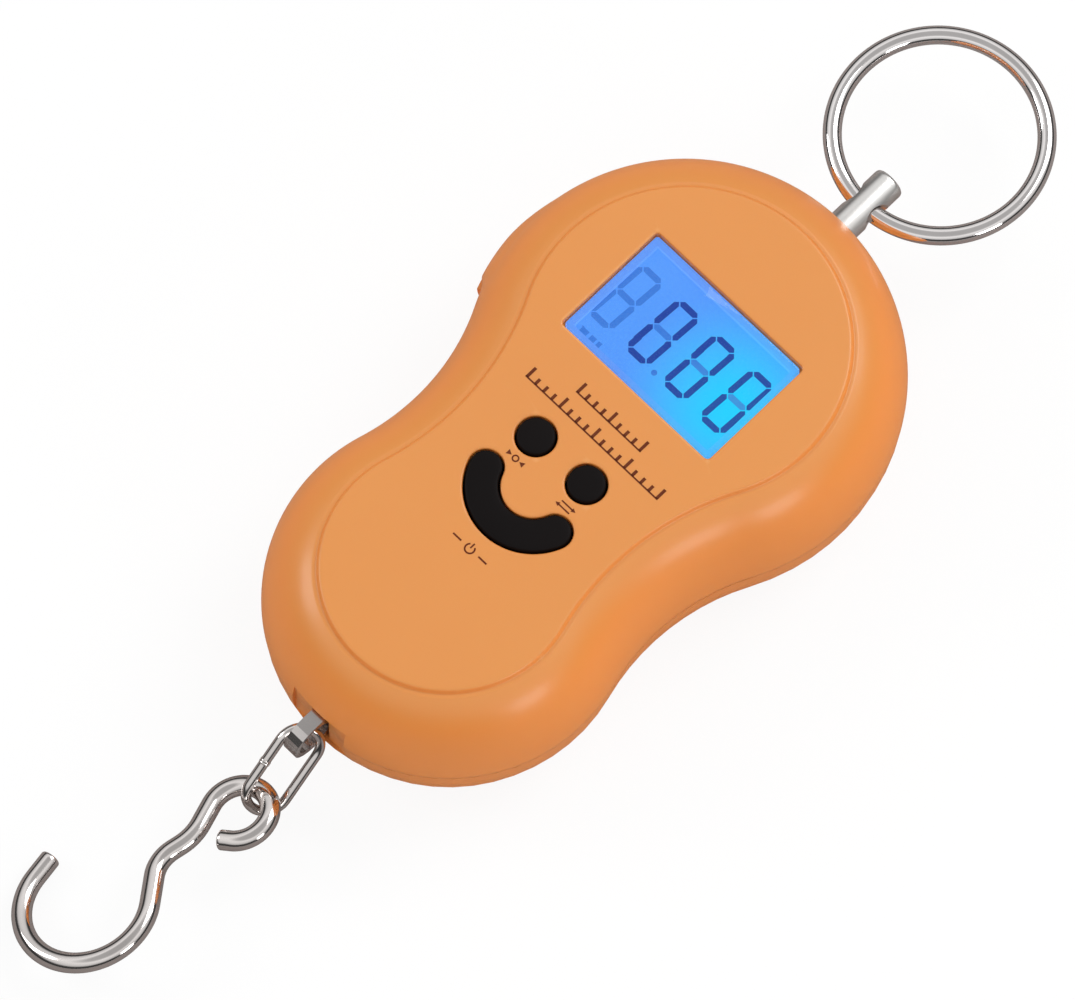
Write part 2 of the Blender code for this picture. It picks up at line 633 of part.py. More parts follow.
def battery_door(material):
    """The door, which swings on two moulded stubs at its upper end."""
    low_z, high_z = DOOR_SINK, DOOR_SINK + DOOR_THICKNESS
    low = (-DOOR_HALF_WIDTH, DOOR_LOW_Y - HINGE_Y, low_z - HINGE_Z)
    high = (DOOR_HALF_WIDTH, 0.0, high_z - HINGE_Z)
    plate = box_mesh("battery_door", low, high)
    door = place("battery_door", plate, material, (0, HINGE_Y, HINGE_Z))
    bead = rod_tool("hinge_bead", HINGE_RADIUS, 2 * (DOOR_HALF_WIDTH - GAP / 3), 16)
    work(door, "UNION", bead, (0, HINGE_Y, HINGE_Z), along_x())
    stub = rod_tool("hinge_stubs", STUB_RADIUS, 2 * (DOOR_HALF_WIDTH + STUB_LENGTH), 12)
    work(door, "UNION", stub, (0, HINGE_Y, HINGE_Z), along_x())
    low = (-TONGUE_WIDTH / 2, DOOR_LOW_Y - TONGUE_LENGTH, low_z + GAP / 3)
    high = (TONGUE_WIDTH / 2, DOOR_LOW_Y + DOOR_MARGIN, high_z - GAP)
    work(door, "UNION", box_mesh("door_tongue", low, high))
    return door


def case_screws(material):
    """Four screws that enter from the back."""
    head_low = COUNTERBORE_DEPTH - GAP - SCREW_HEAD_HEIGHT
    dome = SCREW_HEAD_HEIGHT / 3
    profile = [
        (SCREW_HEAD_RADIUS * 0.6, head_low - dome),
        (SCREW_HEAD_RADIUS, head_low),
        (SCREW_HEAD_RADIUS, head_low + SCREW_HEAD_HEIGHT),
        (SCREW_RADIUS, head_low + SCREW_HEAD_HEIGHT),
        (SCREW_RADIUS, PARTING_Z + SCREW_BITE - SCREW_RADIUS),
        (SCREW_RADIUS / 3, PARTING_Z + SCREW_BITE),
    ]
    for index, (x, y) in enumerate(case_screw_places(), 1):
        mesh = turned_mesh(f"case_screw_{index}", profile, 12)
        place(f"case_screw_{index}", mesh, material, (x, y, 0))


# ---- Display ---------------------------------------------------------------------------------------
def display_window(material):
    """The clear window in its seat in the face."""
    half = Vector((DISPLAY_WIDTH / 2 - GAP, DISPLAY_HEIGHT / 2 - GAP))
    top = FACE_Z - WINDOW_SINK
    low = (-half.x, DISPLAY_Y - half.y, top - WINDOW_THICKNESS)
    mesh = box_mesh("display_window", low, (half.x, DISPLAY_Y + half.y, top))
    return place("display_window", mesh, material)


def display_stack(glass, panel, zebra):
    """The LCD glass, with the backlight and the zebra strip between it and the board."""
    half = Vector((GLASS_WIDTH / 2, GLASS_HEIGHT / 2))
    low = (-half.x, DISPLAY_Y - half.y, GLASS_Z)
    high = (half.x, DISPLAY_Y + half.y, GLASS_Z + GLASS_THICKNESS)
    place("lcd_glass", box_mesh("lcd_glass", low, high), glass)
    edge = DISPLAY_Y - half.y + GAP + ZEBRA_WIDTH
    top = BACKLIGHT_Z + BACKLIGHT_THICKNESS
    low = (-half.x + GAP, DISPLAY_Y - half.y + GAP, BACKLIGHT_Z)
    place("zebra_strip", box_mesh("zebra_strip", low, (half.x - GAP, edge, top)), zebra)
    low = (-half.x + GAP, edge + GAP, BACKLIGHT_Z)
    high = (half.x - GAP, DISPLAY_Y + half.y - GAP, top)
    place("backlight_panel", box_mesh("backlight_panel", low, high), panel)


# ---- Buttons ---------------------------------------------------------------------------------------
def flange_z():
    """(low, high) of the flange that keeps a button in the face."""
    high = CEILING_Z - GAP
    return high - FLANGE_THICKNESS, high


def round_button(name, x, material):
    """A round button: a slightly domed cap on a flange under the face."""
    low, high = flange_z()
    top = FACE_Z + BUTTON_PROUD
    flange = BUTTON_RADIUS + FLANGE_GROWTH
    profile = [
        (flange, low - FACE_Z),
        (flange, high - FACE_Z),
        (BUTTON_RADIUS, high - FACE_Z),
        (BUTTON_RADIUS, top - FACE_Z - BUTTON_PROUD / 2),
        (BUTTON_RADIUS * 0.85, top - FACE_Z - BUTTON_PROUD / 8),
        (BUTTON_RADIUS * 0.4, top - FACE_Z),
    ]
    mesh = turned_mesh(f"{name}_button", profile, 24)
    return place(f"{name}_button", mesh, material, (x, BUTTON_Y, FACE_Z))


def power_button(material):
    """The smile-shaped button, on a flange of the same shape."""
    low, high = flange_z()
    top = FACE_Z + BUTTON_PROUD
    rows = [
        (FLANGE_GROWTH, low),
        (FLANGE_GROWTH, high),
        (0.0, high),
        (0.0, top - BUTTON_PROUD / 2),
        (-SMILE_BAND / 10, top),
    ]
    loops = [[(x, y, z - FACE_Z) for x, y in smile_outline(growth)] for growth, z in rows]
    mesh = stack_mesh("power_button", loops)
    return place("power_button", mesh, material, (0, SMILE_Y, FACE_Z))


def tact_switch(name, x, y, body, plunger):
    """A tact switch on the board, with its plunger in a blind hole."""
    low = BOARD_TOP_Z + GAP
    half = SWITCH_SIZE / 2
    mesh = box_mesh(f"{name}_switch", (-half, -half, 0), (half, half, SWITCH_HEIGHT))
    switch = place(f"{name}_switch", mesh, body, (x, y, low))
    flange_low, _ = flange_z()
    tip = flange_low - GAP
    foot = low + SWITCH_HEIGHT / 2
    depth = foot - TRAVEL - GAP
    hole = box_hole_mesh(f"{name}_plunger_way", depth, low + 2 * SWITCH_HEIGHT)
    work(switch, "DIFFERENCE", hole, (x, y, 0))
    profile = [(PLUNGER_RADIUS, foot - tip), (PLUNGER_RADIUS, 0.0)]
    mesh = turned_mesh(f"{name}_plunger", profile, 12)
    place(f"{name}_plunger", mesh, plunger, (x, y, tip))


def box_hole_mesh(name, low, high):
    """The round way that a plunger slides in."""
    radius = PLUNGER_RADIUS + GAP
    return turned_mesh(name, [(radius, low), (radius, high)], 12)


# ---- Board ------------------------------------------------------------------------------------------
def circuit_board(material):
    """The board, which hangs from bosses under the face."""
    half = board_half_width()
    low_y = POWER_SWITCH_Y - BOARD_END
    high_y = board_screw_places()[-1][1] + BOARD_BOSS_RADIUS
    mesh = box_mesh("circuit_board", (-half, low_y, BOARD_BOTTOM_Z), (half, high_y, BOARD_TOP_Z))
    board = place("circuit_board", mesh, material)
    for index, (x, y) in enumerate(board_screw_places()):
        hole = rod_tool(f"board_hole_{index}", BOARD_SCREW_RADIUS + GAP, 4 * BOARD_THICKNESS, 10)
        work(board, "DIFFERENCE", hole, (x, y, BOARD_TOP_Z))
    return board


def board_screws(material):
    """Four small screws that hold the board to the face's bosses."""
    head_top = BOARD_BOTTOM_Z - GAP
    profile = [
        (BOARD_SCREW_HEAD, head_top - BOARD_SCREW_RADIUS),
        (BOARD_SCREW_HEAD, head_top),
        (BOARD_SCREW_RADIUS, head_top),
        (BOARD_SCREW_RADIUS, head_top + BOARD_SCREW_LENGTH),
    ]
    for index, (x, y) in enumerate(board_screw_places(), 1):
        mesh = turned_mesh(f"board_screw_{index}", profile, 10)
        place(f"board_screw_{index}", mesh, material, (x, y, 0))


def board_parts(blob, crystal, capacitor):
    """The chip under its blob, the crystal and two capacitors, all under the board."""
    top = BOARD_BOTTOM_Z - GAP
    x = BATTERY_X
    y = DISPLAY_Y - GLASS_HEIGHT / 4
    profile = [
        (BLOB_RADIUS * 0.4, -BLOB_HEIGHT),
        (BLOB_RADIUS * 0.8, -BLOB_HEIGHT * 0.7),
        (BLOB_RADIUS, 0.0),
    ]
    place("chip_blob", turned_mesh("chip_blob", profile, 18), blob, (x, y, top))
    can = [(CRYSTAL_RADIUS, -CRYSTAL_LENGTH / 2), (CRYSTAL_RADIUS, CRYSTAL_LENGTH / 2)]
    spot = (-x, y, top - CRYSTAL_RADIUS)
    place("crystal", turned_mesh("crystal", can, 12), crystal, spot, along_y())
    length, width, height = CAPACITOR_SIZE
    for index, side in enumerate((-1, 1), 1):
        low = (-length / 2, -width / 2, -height)
        mesh = box_mesh(f"capacitor_{index}", low, (length / 2, width / 2, 0.0))
        spot = (side * x, y - BLOB_RADIUS - 2 * width, top)
        place(f"capacitor_{index}", mesh, capacitor, spot)


# ---- Load line --------------------------------------------------------------------------------------
def load_cell(material):
    """The steel plate on edge that carries the load, cut through to bend in the middle."""
    half = CELL_PLATE_DEPTH / 2
    shoulder = CASE_BOTTOM_Y + 3 * WALL + GAP
    ear = CLEVIS_LOW_Y - 2 * GAP
    quarter = math.pi / 2
    outline = arc_points((TAB_HOLE_Y, 0), TAB_RADIUS, quarter, 3 * quarter, 10)
    outline += [(shoulder, -TAB_RADIUS), (shoulder + half / 2, -half)]
    outline += [(ear - half / 2, -half), (ear, -EAR_RADIUS)]
    outline += arc_points((PIN_Y, 0), EAR_RADIUS, -quarter, quarter, 8)
    outline += [(ear, EAR_RADIUS), (ear - half / 2, half)]
    outline += [(shoulder + half / 2, half), (shoulder, TAB_RADIUS)]
    thick = CELL_PLATE / 2
    loops = [[(x, y, PARTING_Z + z) for y, z in outline] for x in (-thick, thick)]
    plate = place("load_cell", stack_mesh("load_cell", loops), material)
    for name, y, radius in (("tab_hole", TAB_HOLE_Y, TAB_HOLE_RADIUS), ("pin_hole", PIN_Y, PIN_RADIUS + GAP)):
        hole = rod_tool(name, radius, 4 * CELL_PLATE, 20)
        work(plate, "DIFFERENCE", hole, (0, y, PARTING_Z), along_x())
    cut_flexure(plate)
    return plate


def cut_flexure(plate):
    """Two slots from opposite edges and a window between them, which leave two thin beams."""
    reach = CELL_PLATE_DEPTH
    half = CELL_PLATE_DEPTH / 2
    low = (-reach, BATTERY_MID_Y - FLEXURE_WINDOW / 2, PARTING_Z - half + FLEXURE_BEAM)
    high = (reach, BATTERY_MID_Y + FLEXURE_WINDOW / 2, PARTING_Z + half - FLEXURE_BEAM)
    work(plate, "DIFFERENCE", box_mesh("beam_window", low, high))
    for index, side in enumerate((-1, 1)):
        y = BATTERY_MID_Y + side * (FLEXURE_WINDOW / 2 + 3 * FLEXURE_SLOT)
        edges = sorted((-side * FLEXURE_BEAM / 2, side * reach))
        low = (-reach, y - FLEXURE_SLOT / 2, PARTING_Z + edges[0])
        high = (reach, y + FLEXURE_SLOT / 2, PARTING_Z + edges[1])
        work(plate, "DIFFERENCE", box_mesh(f"beam_slot_{index}", low, high))


def strain_gauges(material):
    """One gauge on each side of the plate, beyond the flexure."""
    thick, length, height = GAUGE_SIZE
    near = CELL_PLATE / 2 + GAP / 2
    y = BATTERY_MID_Y + GAUGE_RISE
    for index, side in enumerate((-1, 1), 1):
        edges = sorted((side * near, side * (near + thick)))
        low = (edges[0], y - length / 2, PARTING_Z - height / 2)
        high = (edges[1], y + length / 2, PARTING_Z + height / 2)
        place(f"strain_gauge_{index}", box_mesh(f"strain_gauge_{index}", low, high), material)


def suspension_rod(material):
    """The rod: a clevis inside the case, and a round shank with a cross hole outside it."""
    tip = CASE_TOP_Y + ROD_REACH - CLEVIS_TOP_Y
    dome = ROD_RADIUS * 0.45
    profile = [
        (CLEVIS_RADIUS * 0.9, -CLEVIS_LENGTH),
        (CLEVIS_RADIUS, -CLEVIS_LENGTH + CLEVIS_RADIUS * 0.1),
        (CLEVIS_RADIUS, 0.0),
        (ROD_RADIUS, 0.0),
        (ROD_RADIUS, tip - dome),
        (ROD_RADIUS * 0.86, tip - dome * 0.45),
        (ROD_RADIUS * 0.5, tip - dome * 0.1),
        (ROD_RADIUS * 0.15, tip),
    ]
    mesh = turned_mesh("suspension_rod", profile, 20)
    rod = place("suspension_rod", mesh, material, (0, CLEVIS_TOP_Y, PARTING_Z), along_y())
    hole = rod_tool("ring_hole", ROD_HOLE_RADIUS, 4 * ROD_RADIUS, 18)
    work(rod, "DIFFERENCE", hole, (0, ROD_HOLE_Y, PARTING_Z), along_x())
    half = CELL_PLATE / 2 + GAP
    low = (-half, CLEVIS_LOW_Y - CLEVIS_RADIUS, PARTING_Z - 2 * CLEVIS_RADIUS)
    high = (half, CLEVIS_TOP_Y - CLEVIS_FLOOR, PARTING_Z + 2 * CLEVIS_RADIUS)
    work(rod, "DIFFERENCE", box_mesh("clevis_slot", low, high))
    hole = rod_tool("clevis_hole", PIN_RADIUS + GAP, 4 * CLEVIS_RADIUS, 12)
    work(rod, "DIFFERENCE", hole, (0, PIN_Y, PARTING_Z), along_x())
    return rod


def clevis_pin(material):
    """The pin that joins the rod to the load cell."""
    mesh = rod_tool("clevis_pin", PIN_RADIUS, 2 * CLEVIS_RADIUS, 12)
    return place("clevis_pin", mesh, material, (0, PIN_Y, PARTING_Z), along_x())


def hanging_ring(material):
    """The ring, with its origin on the rod's cross hole."""
    steps = 40
    angles = [2 * math.pi * i / steps for i in range(steps)]
    points = [
        (RING_RADIUS * math.sin(a), RING_RADIUS * (1 - math.cos(a)), 0.0) for a in angles
    ]
    droop = Matrix.Rotation(-RING_DROOP, 3, "X")
    spot = (0, ROD_HOLE_Y, PARTING_Z)
    return wire("hanging_ring", points, RING_WIRE, material, True, 3, spot, droop)


def link_frame():
    """(origin, rotation) of the chain link: local X is across it and local -Y runs down it."""
    run = math.sqrt(LINK_LENGTH**2 - LINK_DROP**2 - LINK_LEAN**2)
    down = Vector((LINK_LEAN, -run, -LINK_DROP)).normalized()
    level = down.cross(Vector((0, 0, 1))).normalized()
    if level.x < 0:
        level = -level
    above = level.cross(down)
    if above.z < 0:
        above = -above
    across = level * math.cos(LINK_TWIST) - above * math.sin(LINK_TWIST)
    rotation = Matrix((across, -down, across.cross(-down))).transposed()
    return Vector((0, TAB_HOLE_Y + LINK_LIFT, PARTING_Z + LINK_LIFT)), rotation


def chain_link(material):
    """The link between the load cell's tab and the hook, with its origin in the tab's hole."""
    half = LINK_WIDTH / 2
    low = LINK_LENGTH - half
    points = arc_points((0, -half), half, 0, math.pi, 10)
    points += arc_points((0, -low), half, math.pi, 2 * math.pi, 10)
    origin, rotation = link_frame()
    flat = [(x, y, 0.0) for x, y in points]
    return wire("chain_link", flat, LINK_WIRE, material, True, 2, origin, rotation)


def hook_path():
    """The hook's middle line in its own plane, from its free end round the eye to its tip.

    Local X runs from the eye to the bowl. Each leg is (length, turn): a turn of 0 is straight.
    """
    heading = HOOK_EYE_FROM + math.pi / 2
    legs = [
        (HOOK_FREE_END, 0.0, 1),
        (HOOK_EYE_RADIUS * HOOK_EYE_TURN, HOOK_EYE_TURN, 22),
        (HOOK_THROAT, 0.0, 1),
        (HOOK_NECK_RADIUS * HOOK_NECK_TURN, -HOOK_NECK_TURN, 4),
        (HOOK_NECK_RUN, 0.0, 1),
        (HOOK_KICK_RADIUS * HOOK_KICK_TURN, HOOK_KICK_TURN, 5),
        (HOOK_SHANK, 0.0, 1),
        (HOOK_BOWL_RADIUS * HOOK_BOWL_TURN, -HOOK_BOWL_TURN, 20),
        (HOOK_TIP, 0.0, 1),
    ]
    spot = Vector((math.cos(HOOK_EYE_FROM), math.sin(HOOK_EYE_FROM))) * HOOK_EYE_RADIUS
    spot -= Vector((math.cos(heading), math.sin(heading))) * HOOK_FREE_END
    points = [spot.copy()]
    for length, turn, steps in legs:
        for _ in range(steps):
            heading += turn / steps / 2
            half = abs(turn) / steps / 2
            chord = length / steps * (math.sin(half) / half if half else 1.0)
            spot += Vector((math.cos(heading), math.sin(heading))) * chord
            heading += turn / steps / 2
            points.append(spot.copy())
    return points


def hook_frame():
    """(seat, rotation) of the hook: the seat is where the link's wire holds its eye."""
    origin, rotation = link_frame()
    down = -rotation.col[1]
    foot = origin + down * LINK_LENGTH
    ahead = Vector((
        -math.sin(HOOK_YAW) * math.cos(HOOK_TILT),
        -math.cos(HOOK_YAW) * math.cos(HOOK_TILT),
        -math.sin(HOOK_TILT),
    ))
    side = Vector((math.cos(HOOK_YAW), -math.sin(HOOK_YAW), 0.0))
    side = Matrix.Rotation(HOOK_ROLL, 3, ahead) @ side
    turn = Matrix((ahead, side, ahead.cross(side))).transposed()
    eye_wire = foot - down * HOOK_SEAT
    return foot, eye_wire, turn


def hook(material):
    """The open wire hook, with its origin in the link's lower end."""
    foot, eye_wire, rotation = hook_frame()
    offset = rotation.inverted() @ (eye_wire - foot) + Vector((HOOK_EYE_RADIUS, 0, 0))
    points = [(offset.x + p.x, offset.y + p.y, offset.z) for p in hook_path()]
    return wire("hook", points, HOOK_WIRE, material, False, 3, foot, rotation)


# ---- Batteries ----------------------------------------------------------------------------------------
def battery_cells(material):
    """Two cells, side by side and facing opposite ways."""
    body = BATTERY_LENGTH - BATTERY_NUB
    profile = [
        (BATTERY_RADIUS * 0.92, 0.0),
        (BATTERY_RADIUS, BATTERY_RADIUS * 0.08),
        (BATTERY_RADIUS, body - BATTERY_RADIUS * 0.08),
        (BATTERY_RADIUS * 0.92, body),
        (BATTERY_NUB_RADIUS, body),
        (BATTERY_NUB_RADIUS, BATTERY_LENGTH),
    ]
    spring_room = CONTACT_THICKNESS + SPRING_LENGTH + 3 * GAP
    for index, side in enumerate((1, -1), 1):
        mesh = turned_mesh(f"battery_cell_{index}", profile, 20)
        turn = Matrix.Rotation(-side * math.pi / 2, 3, "X")
        y = BAY_LOW_Y + spring_room if side > 0 else BAY_HIGH_Y - spring_room
        place(f"battery_cell_{index}", mesh, material, (side * BATTERY_X, y, BATTERY_Z), turn)


def contact_plates(material):
    """The flat contacts: one under both cells at the lower end, and one for each at the upper end."""
    half = CONTACT_SIZE / 2
    inner = CELL_PLATE / 2 + CHANNEL_ROOM + BAY_WALL + GAP
    for name, side, low_y in (
        ("series_contact_1", -1, BAY_LOW_Y + GAP),
        ("series_contact_2", 1, BAY_LOW_Y + GAP),
        ("positive_contact", 1, BAY_HIGH_Y - GAP - CONTACT_THICKNESS),
        ("negative_contact", -1, BAY_HIGH_Y - GAP - CONTACT_THICKNESS),
    ):
        near = side * inner
        far = side * (BATTERY_X + half)
        x_low, x_high = sorted((near, far))
        low = (x_low, low_y, BATTERY_Z - half)
        high = (x_high, low_y + CONTACT_THICKNESS, BATTERY_Z + half)
        place(name, box_mesh(name, low, high), material)


def contact_springs(material):
    """A conical coil at each cell's negative end."""
    steps = int(SPRING_TURNS * 14)
    base = BATTERY_RADIUS * 0.62
    taper = BATTERY_RADIUS * 0.24
    rise = SPRING_LENGTH - SPRING_WIRE
    for index, side in enumerate((1, -1), 1):
        points = []
        for step in range(steps + 1):
            share = step / steps
            angle = 2 * math.pi * SPRING_TURNS * share
            radius = base - taper * share
            along = SPRING_WIRE / 2 + rise * share
            points.append((radius * math.cos(angle), side * along, radius * math.sin(angle)))
        edge = CONTACT_THICKNESS + 2 * GAP
        y = BAY_LOW_Y + edge if side > 0 else BAY_HIGH_Y - edge
        spot = (side * BATTERY_X, y, BATTERY_Z)
        wire(f"contact_spring_{index}", points, SPRING_WIRE, material, False, 1, spot)


def smooth_route(knots, per_leg=4):
    """A smooth curve through the knots, as points."""
    ends = [2 * knots[0] - knots[1], *knots, 2 * knots[-1] - knots[-2]]
    points = []
    for i in range(1, len(ends) - 2):
        a, b, c, d = ends[i - 1 : i + 3]
        for step in range(per_leg):
            t = step / per_leg
            bend = (2 * a - 5 * b + 4 * c - d) * t * t + (3 * b - a - 3 * c + d) * t**3
            points.append(b + ((c - a) * t + bend) / 2)
    points.append(knots[-1])
    return points


def leads(red, black, grey):
    """The two battery leads, and the cable from the strain gauges to the board."""
    top = BOARD_BOTTOM_Z - GAP - LEAD_DIAMETER / 2
    start_y = BAY_HIGH_Y + BAY_WALL + GAP + LEAD_DIAMETER
    mid_z = (BAY_TOP_Z + BATTERY_Z) / 2
    for name, side, material in (("lead_red", 1, red), ("lead_black", -1, black)):
        x = side * BATTERY_X
        knots = [
            Vector((x, start_y, BATTERY_Z + BATTERY_RADIUS / 2)),
            Vector((x, start_y + LEAD_DIAMETER, mid_z)),
            Vector((x - side * LEAD_DIAMETER, start_y + 2 * LEAD_DIAMETER, top - 2 * LEAD_DIAMETER)),
            Vector((x - side * LEAD_DIAMETER, start_y, top)),
        ]
        wire(name, smooth_route(knots), LEAD_DIAMETER, material, False, 1)
    x = CELL_PLATE / 2 + CHANNEL_ROOM + BAY_WALL
    y = BATTERY_MID_Y + GAUGE_SIZE[1] / 2
    low = BAY_TOP_Z + GAP + GAUGE_CABLE_DIAMETER
    heights = (low, low + GAP, top - GAP)
    knots = [Vector((x, y, low))]
    for (run, drop), height in zip(GAUGE_CABLE_STEPS, heights):
        knots.append(Vector((x + run, y - drop, height)))
    wire("gauge_cable", smooth_route(knots), GAUGE_CABLE_DIAMETER, grey, False, 1)


def clear_scene():
    """Removes whatever the scene holds."""
    for piece in list(bpy.data.objects):
        bpy.data.objects.remove(piece)


def build():
    """Makes every piece of the scale."""
    clear_scene()
    orange = (0.80, 0.33, 0.08)
    black = (0.012, 0.012, 0.013)
    steel = (0.62, 0.60, 0.58)
    front_cover(finish("front_cover", orange, 0.42))
    back_cover(finish("back_cover", (0.76, 0.30, 0.07), 0.40))
    battery_door(finish("battery_door", (0.76, 0.30, 0.07), 0.45))
    case_screws(finish("case_screw", (0.35, 0.35, 0.36), 0.35, 1.0))
    display_window(finish("display_window", (0.75, 0.88, 0.95), 0.08))
    glass = finish("lcd_glass", (0.14, 0.42, 0.90), 0.15)
    panel = finish("backlight_panel", (0.55, 0.80, 1.0), 0.30)
    zebra = finish("zebra_strip", (0.65, 0.35, 0.42), 0.60)
    display_stack(glass, panel, zebra)
    rubber = finish("button", black, 0.60)
    switch_body = finish("switch_body", (0.05, 0.05, 0.05), 0.50)
    plunger = finish("plunger", (0.70, 0.68, 0.62), 0.50)
    for name, x in round_button_places():
        round_button(name, x, rubber)
        tact_switch(name, x, BUTTON_Y, switch_body, plunger)
    power_button(rubber)
    tact_switch("power", 0.0, POWER_SWITCH_Y, switch_body, plunger)
    circuit_board(finish("circuit_board", (0.03, 0.20, 0.09), 0.45))
    board_screws(finish("board_screw", (0.55, 0.53, 0.50), 0.30, 1.0))
    blob = finish("chip_blob", (0.015, 0.015, 0.015), 0.25)
    crystal = finish("crystal", (0.65, 0.65, 0.66), 0.25, 1.0)
    board_parts(blob, crystal, finish("capacitor", (0.60, 0.42, 0.16), 0.45))
    load_cell(finish("load_cell", (0.55, 0.54, 0.52), 0.30, 1.0))
    strain_gauges(finish("strain_gauge", (0.72, 0.50, 0.22), 0.40))
    suspension_rod(finish("suspension_rod", steel, 0.16, 1.0))
    clevis_pin(finish("clevis_pin", steel, 0.25, 1.0))
    hanging_ring(finish("hanging_ring", (0.68, 0.66, 0.64), 0.10, 1.0))
    chain_link(finish("chain_link", steel, 0.12, 1.0))
    hook(finish("hook", steel, 0.12, 1.0))
    battery_cells(finish("battery_cell", (0.05, 0.13, 0.30), 0.30, 0.4))
    contact_plates(finish("contact", (0.70, 0.66, 0.58), 0.30, 1.0))
    contact_springs(finish("contact_spring", (0.70, 0.66, 0.58), 0.25, 1.0))
    red = finish("lead_red", (0.60, 0.03, 0.03), 0.45)
    leads(red, finish("lead_black", black, 0.45), finish("gauge_cable", (0.45, 0.45, 0.45), 0.5))


build()
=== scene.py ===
"""The looks of a digital fish scale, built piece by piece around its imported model."""

import bpy
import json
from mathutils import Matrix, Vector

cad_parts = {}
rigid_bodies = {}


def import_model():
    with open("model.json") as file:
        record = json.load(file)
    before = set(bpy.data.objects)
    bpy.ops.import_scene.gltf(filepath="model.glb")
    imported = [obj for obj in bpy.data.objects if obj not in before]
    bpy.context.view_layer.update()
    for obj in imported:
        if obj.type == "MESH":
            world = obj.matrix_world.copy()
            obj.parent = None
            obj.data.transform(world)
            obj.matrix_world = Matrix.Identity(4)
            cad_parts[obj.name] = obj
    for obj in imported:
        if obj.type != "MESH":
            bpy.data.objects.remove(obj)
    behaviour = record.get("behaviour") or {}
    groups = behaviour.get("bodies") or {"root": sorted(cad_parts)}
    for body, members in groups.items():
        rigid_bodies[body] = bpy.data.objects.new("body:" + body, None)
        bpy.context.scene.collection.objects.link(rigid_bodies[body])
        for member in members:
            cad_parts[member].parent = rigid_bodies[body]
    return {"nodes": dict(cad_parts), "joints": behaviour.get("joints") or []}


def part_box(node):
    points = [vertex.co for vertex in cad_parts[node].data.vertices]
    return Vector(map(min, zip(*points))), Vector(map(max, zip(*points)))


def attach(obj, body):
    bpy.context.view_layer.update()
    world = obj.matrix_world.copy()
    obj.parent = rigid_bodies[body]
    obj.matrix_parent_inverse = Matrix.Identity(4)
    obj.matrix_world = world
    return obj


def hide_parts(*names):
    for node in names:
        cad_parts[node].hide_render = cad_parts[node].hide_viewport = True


for startup in list(bpy.data.objects):
    bpy.data.objects.remove(startup)

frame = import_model()

import json
import logging
import math
from collections.abc import Sequence
from dataclasses import dataclass
from enum import Enum

import bmesh
from mathutils import Matrix, Vector

Point2 = tuple[float, float]
Colour = tuple[float, float, float]
Row = tuple[float, float]
Ring = list[bmesh.types.BMVert]
Node = bpy.types.Node
Socket = bpy.types.NodeSocket
Tree = bpy.types.NodeTree
Material = bpy.types.Material
Piece = bpy.types.Object

LOG = logging.getLogger("fish_scale")
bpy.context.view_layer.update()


class Body(Enum):
    """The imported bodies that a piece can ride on."""

    CASE = "case"
    RING = "ring"
    LINK = "link"
    HOOK = "hook"
    DOOR = "door"
    TARE = "tare"
    UNIT = "unit"
    POWER = "power"


MIX_SHARE, MIX_LOW, MIX_HIGH, MIX_RESULT = 0, 6, 7, 2  # a colour Mix node's own sockets

# ---- Shader node groups --------------------------------------------------------------------------


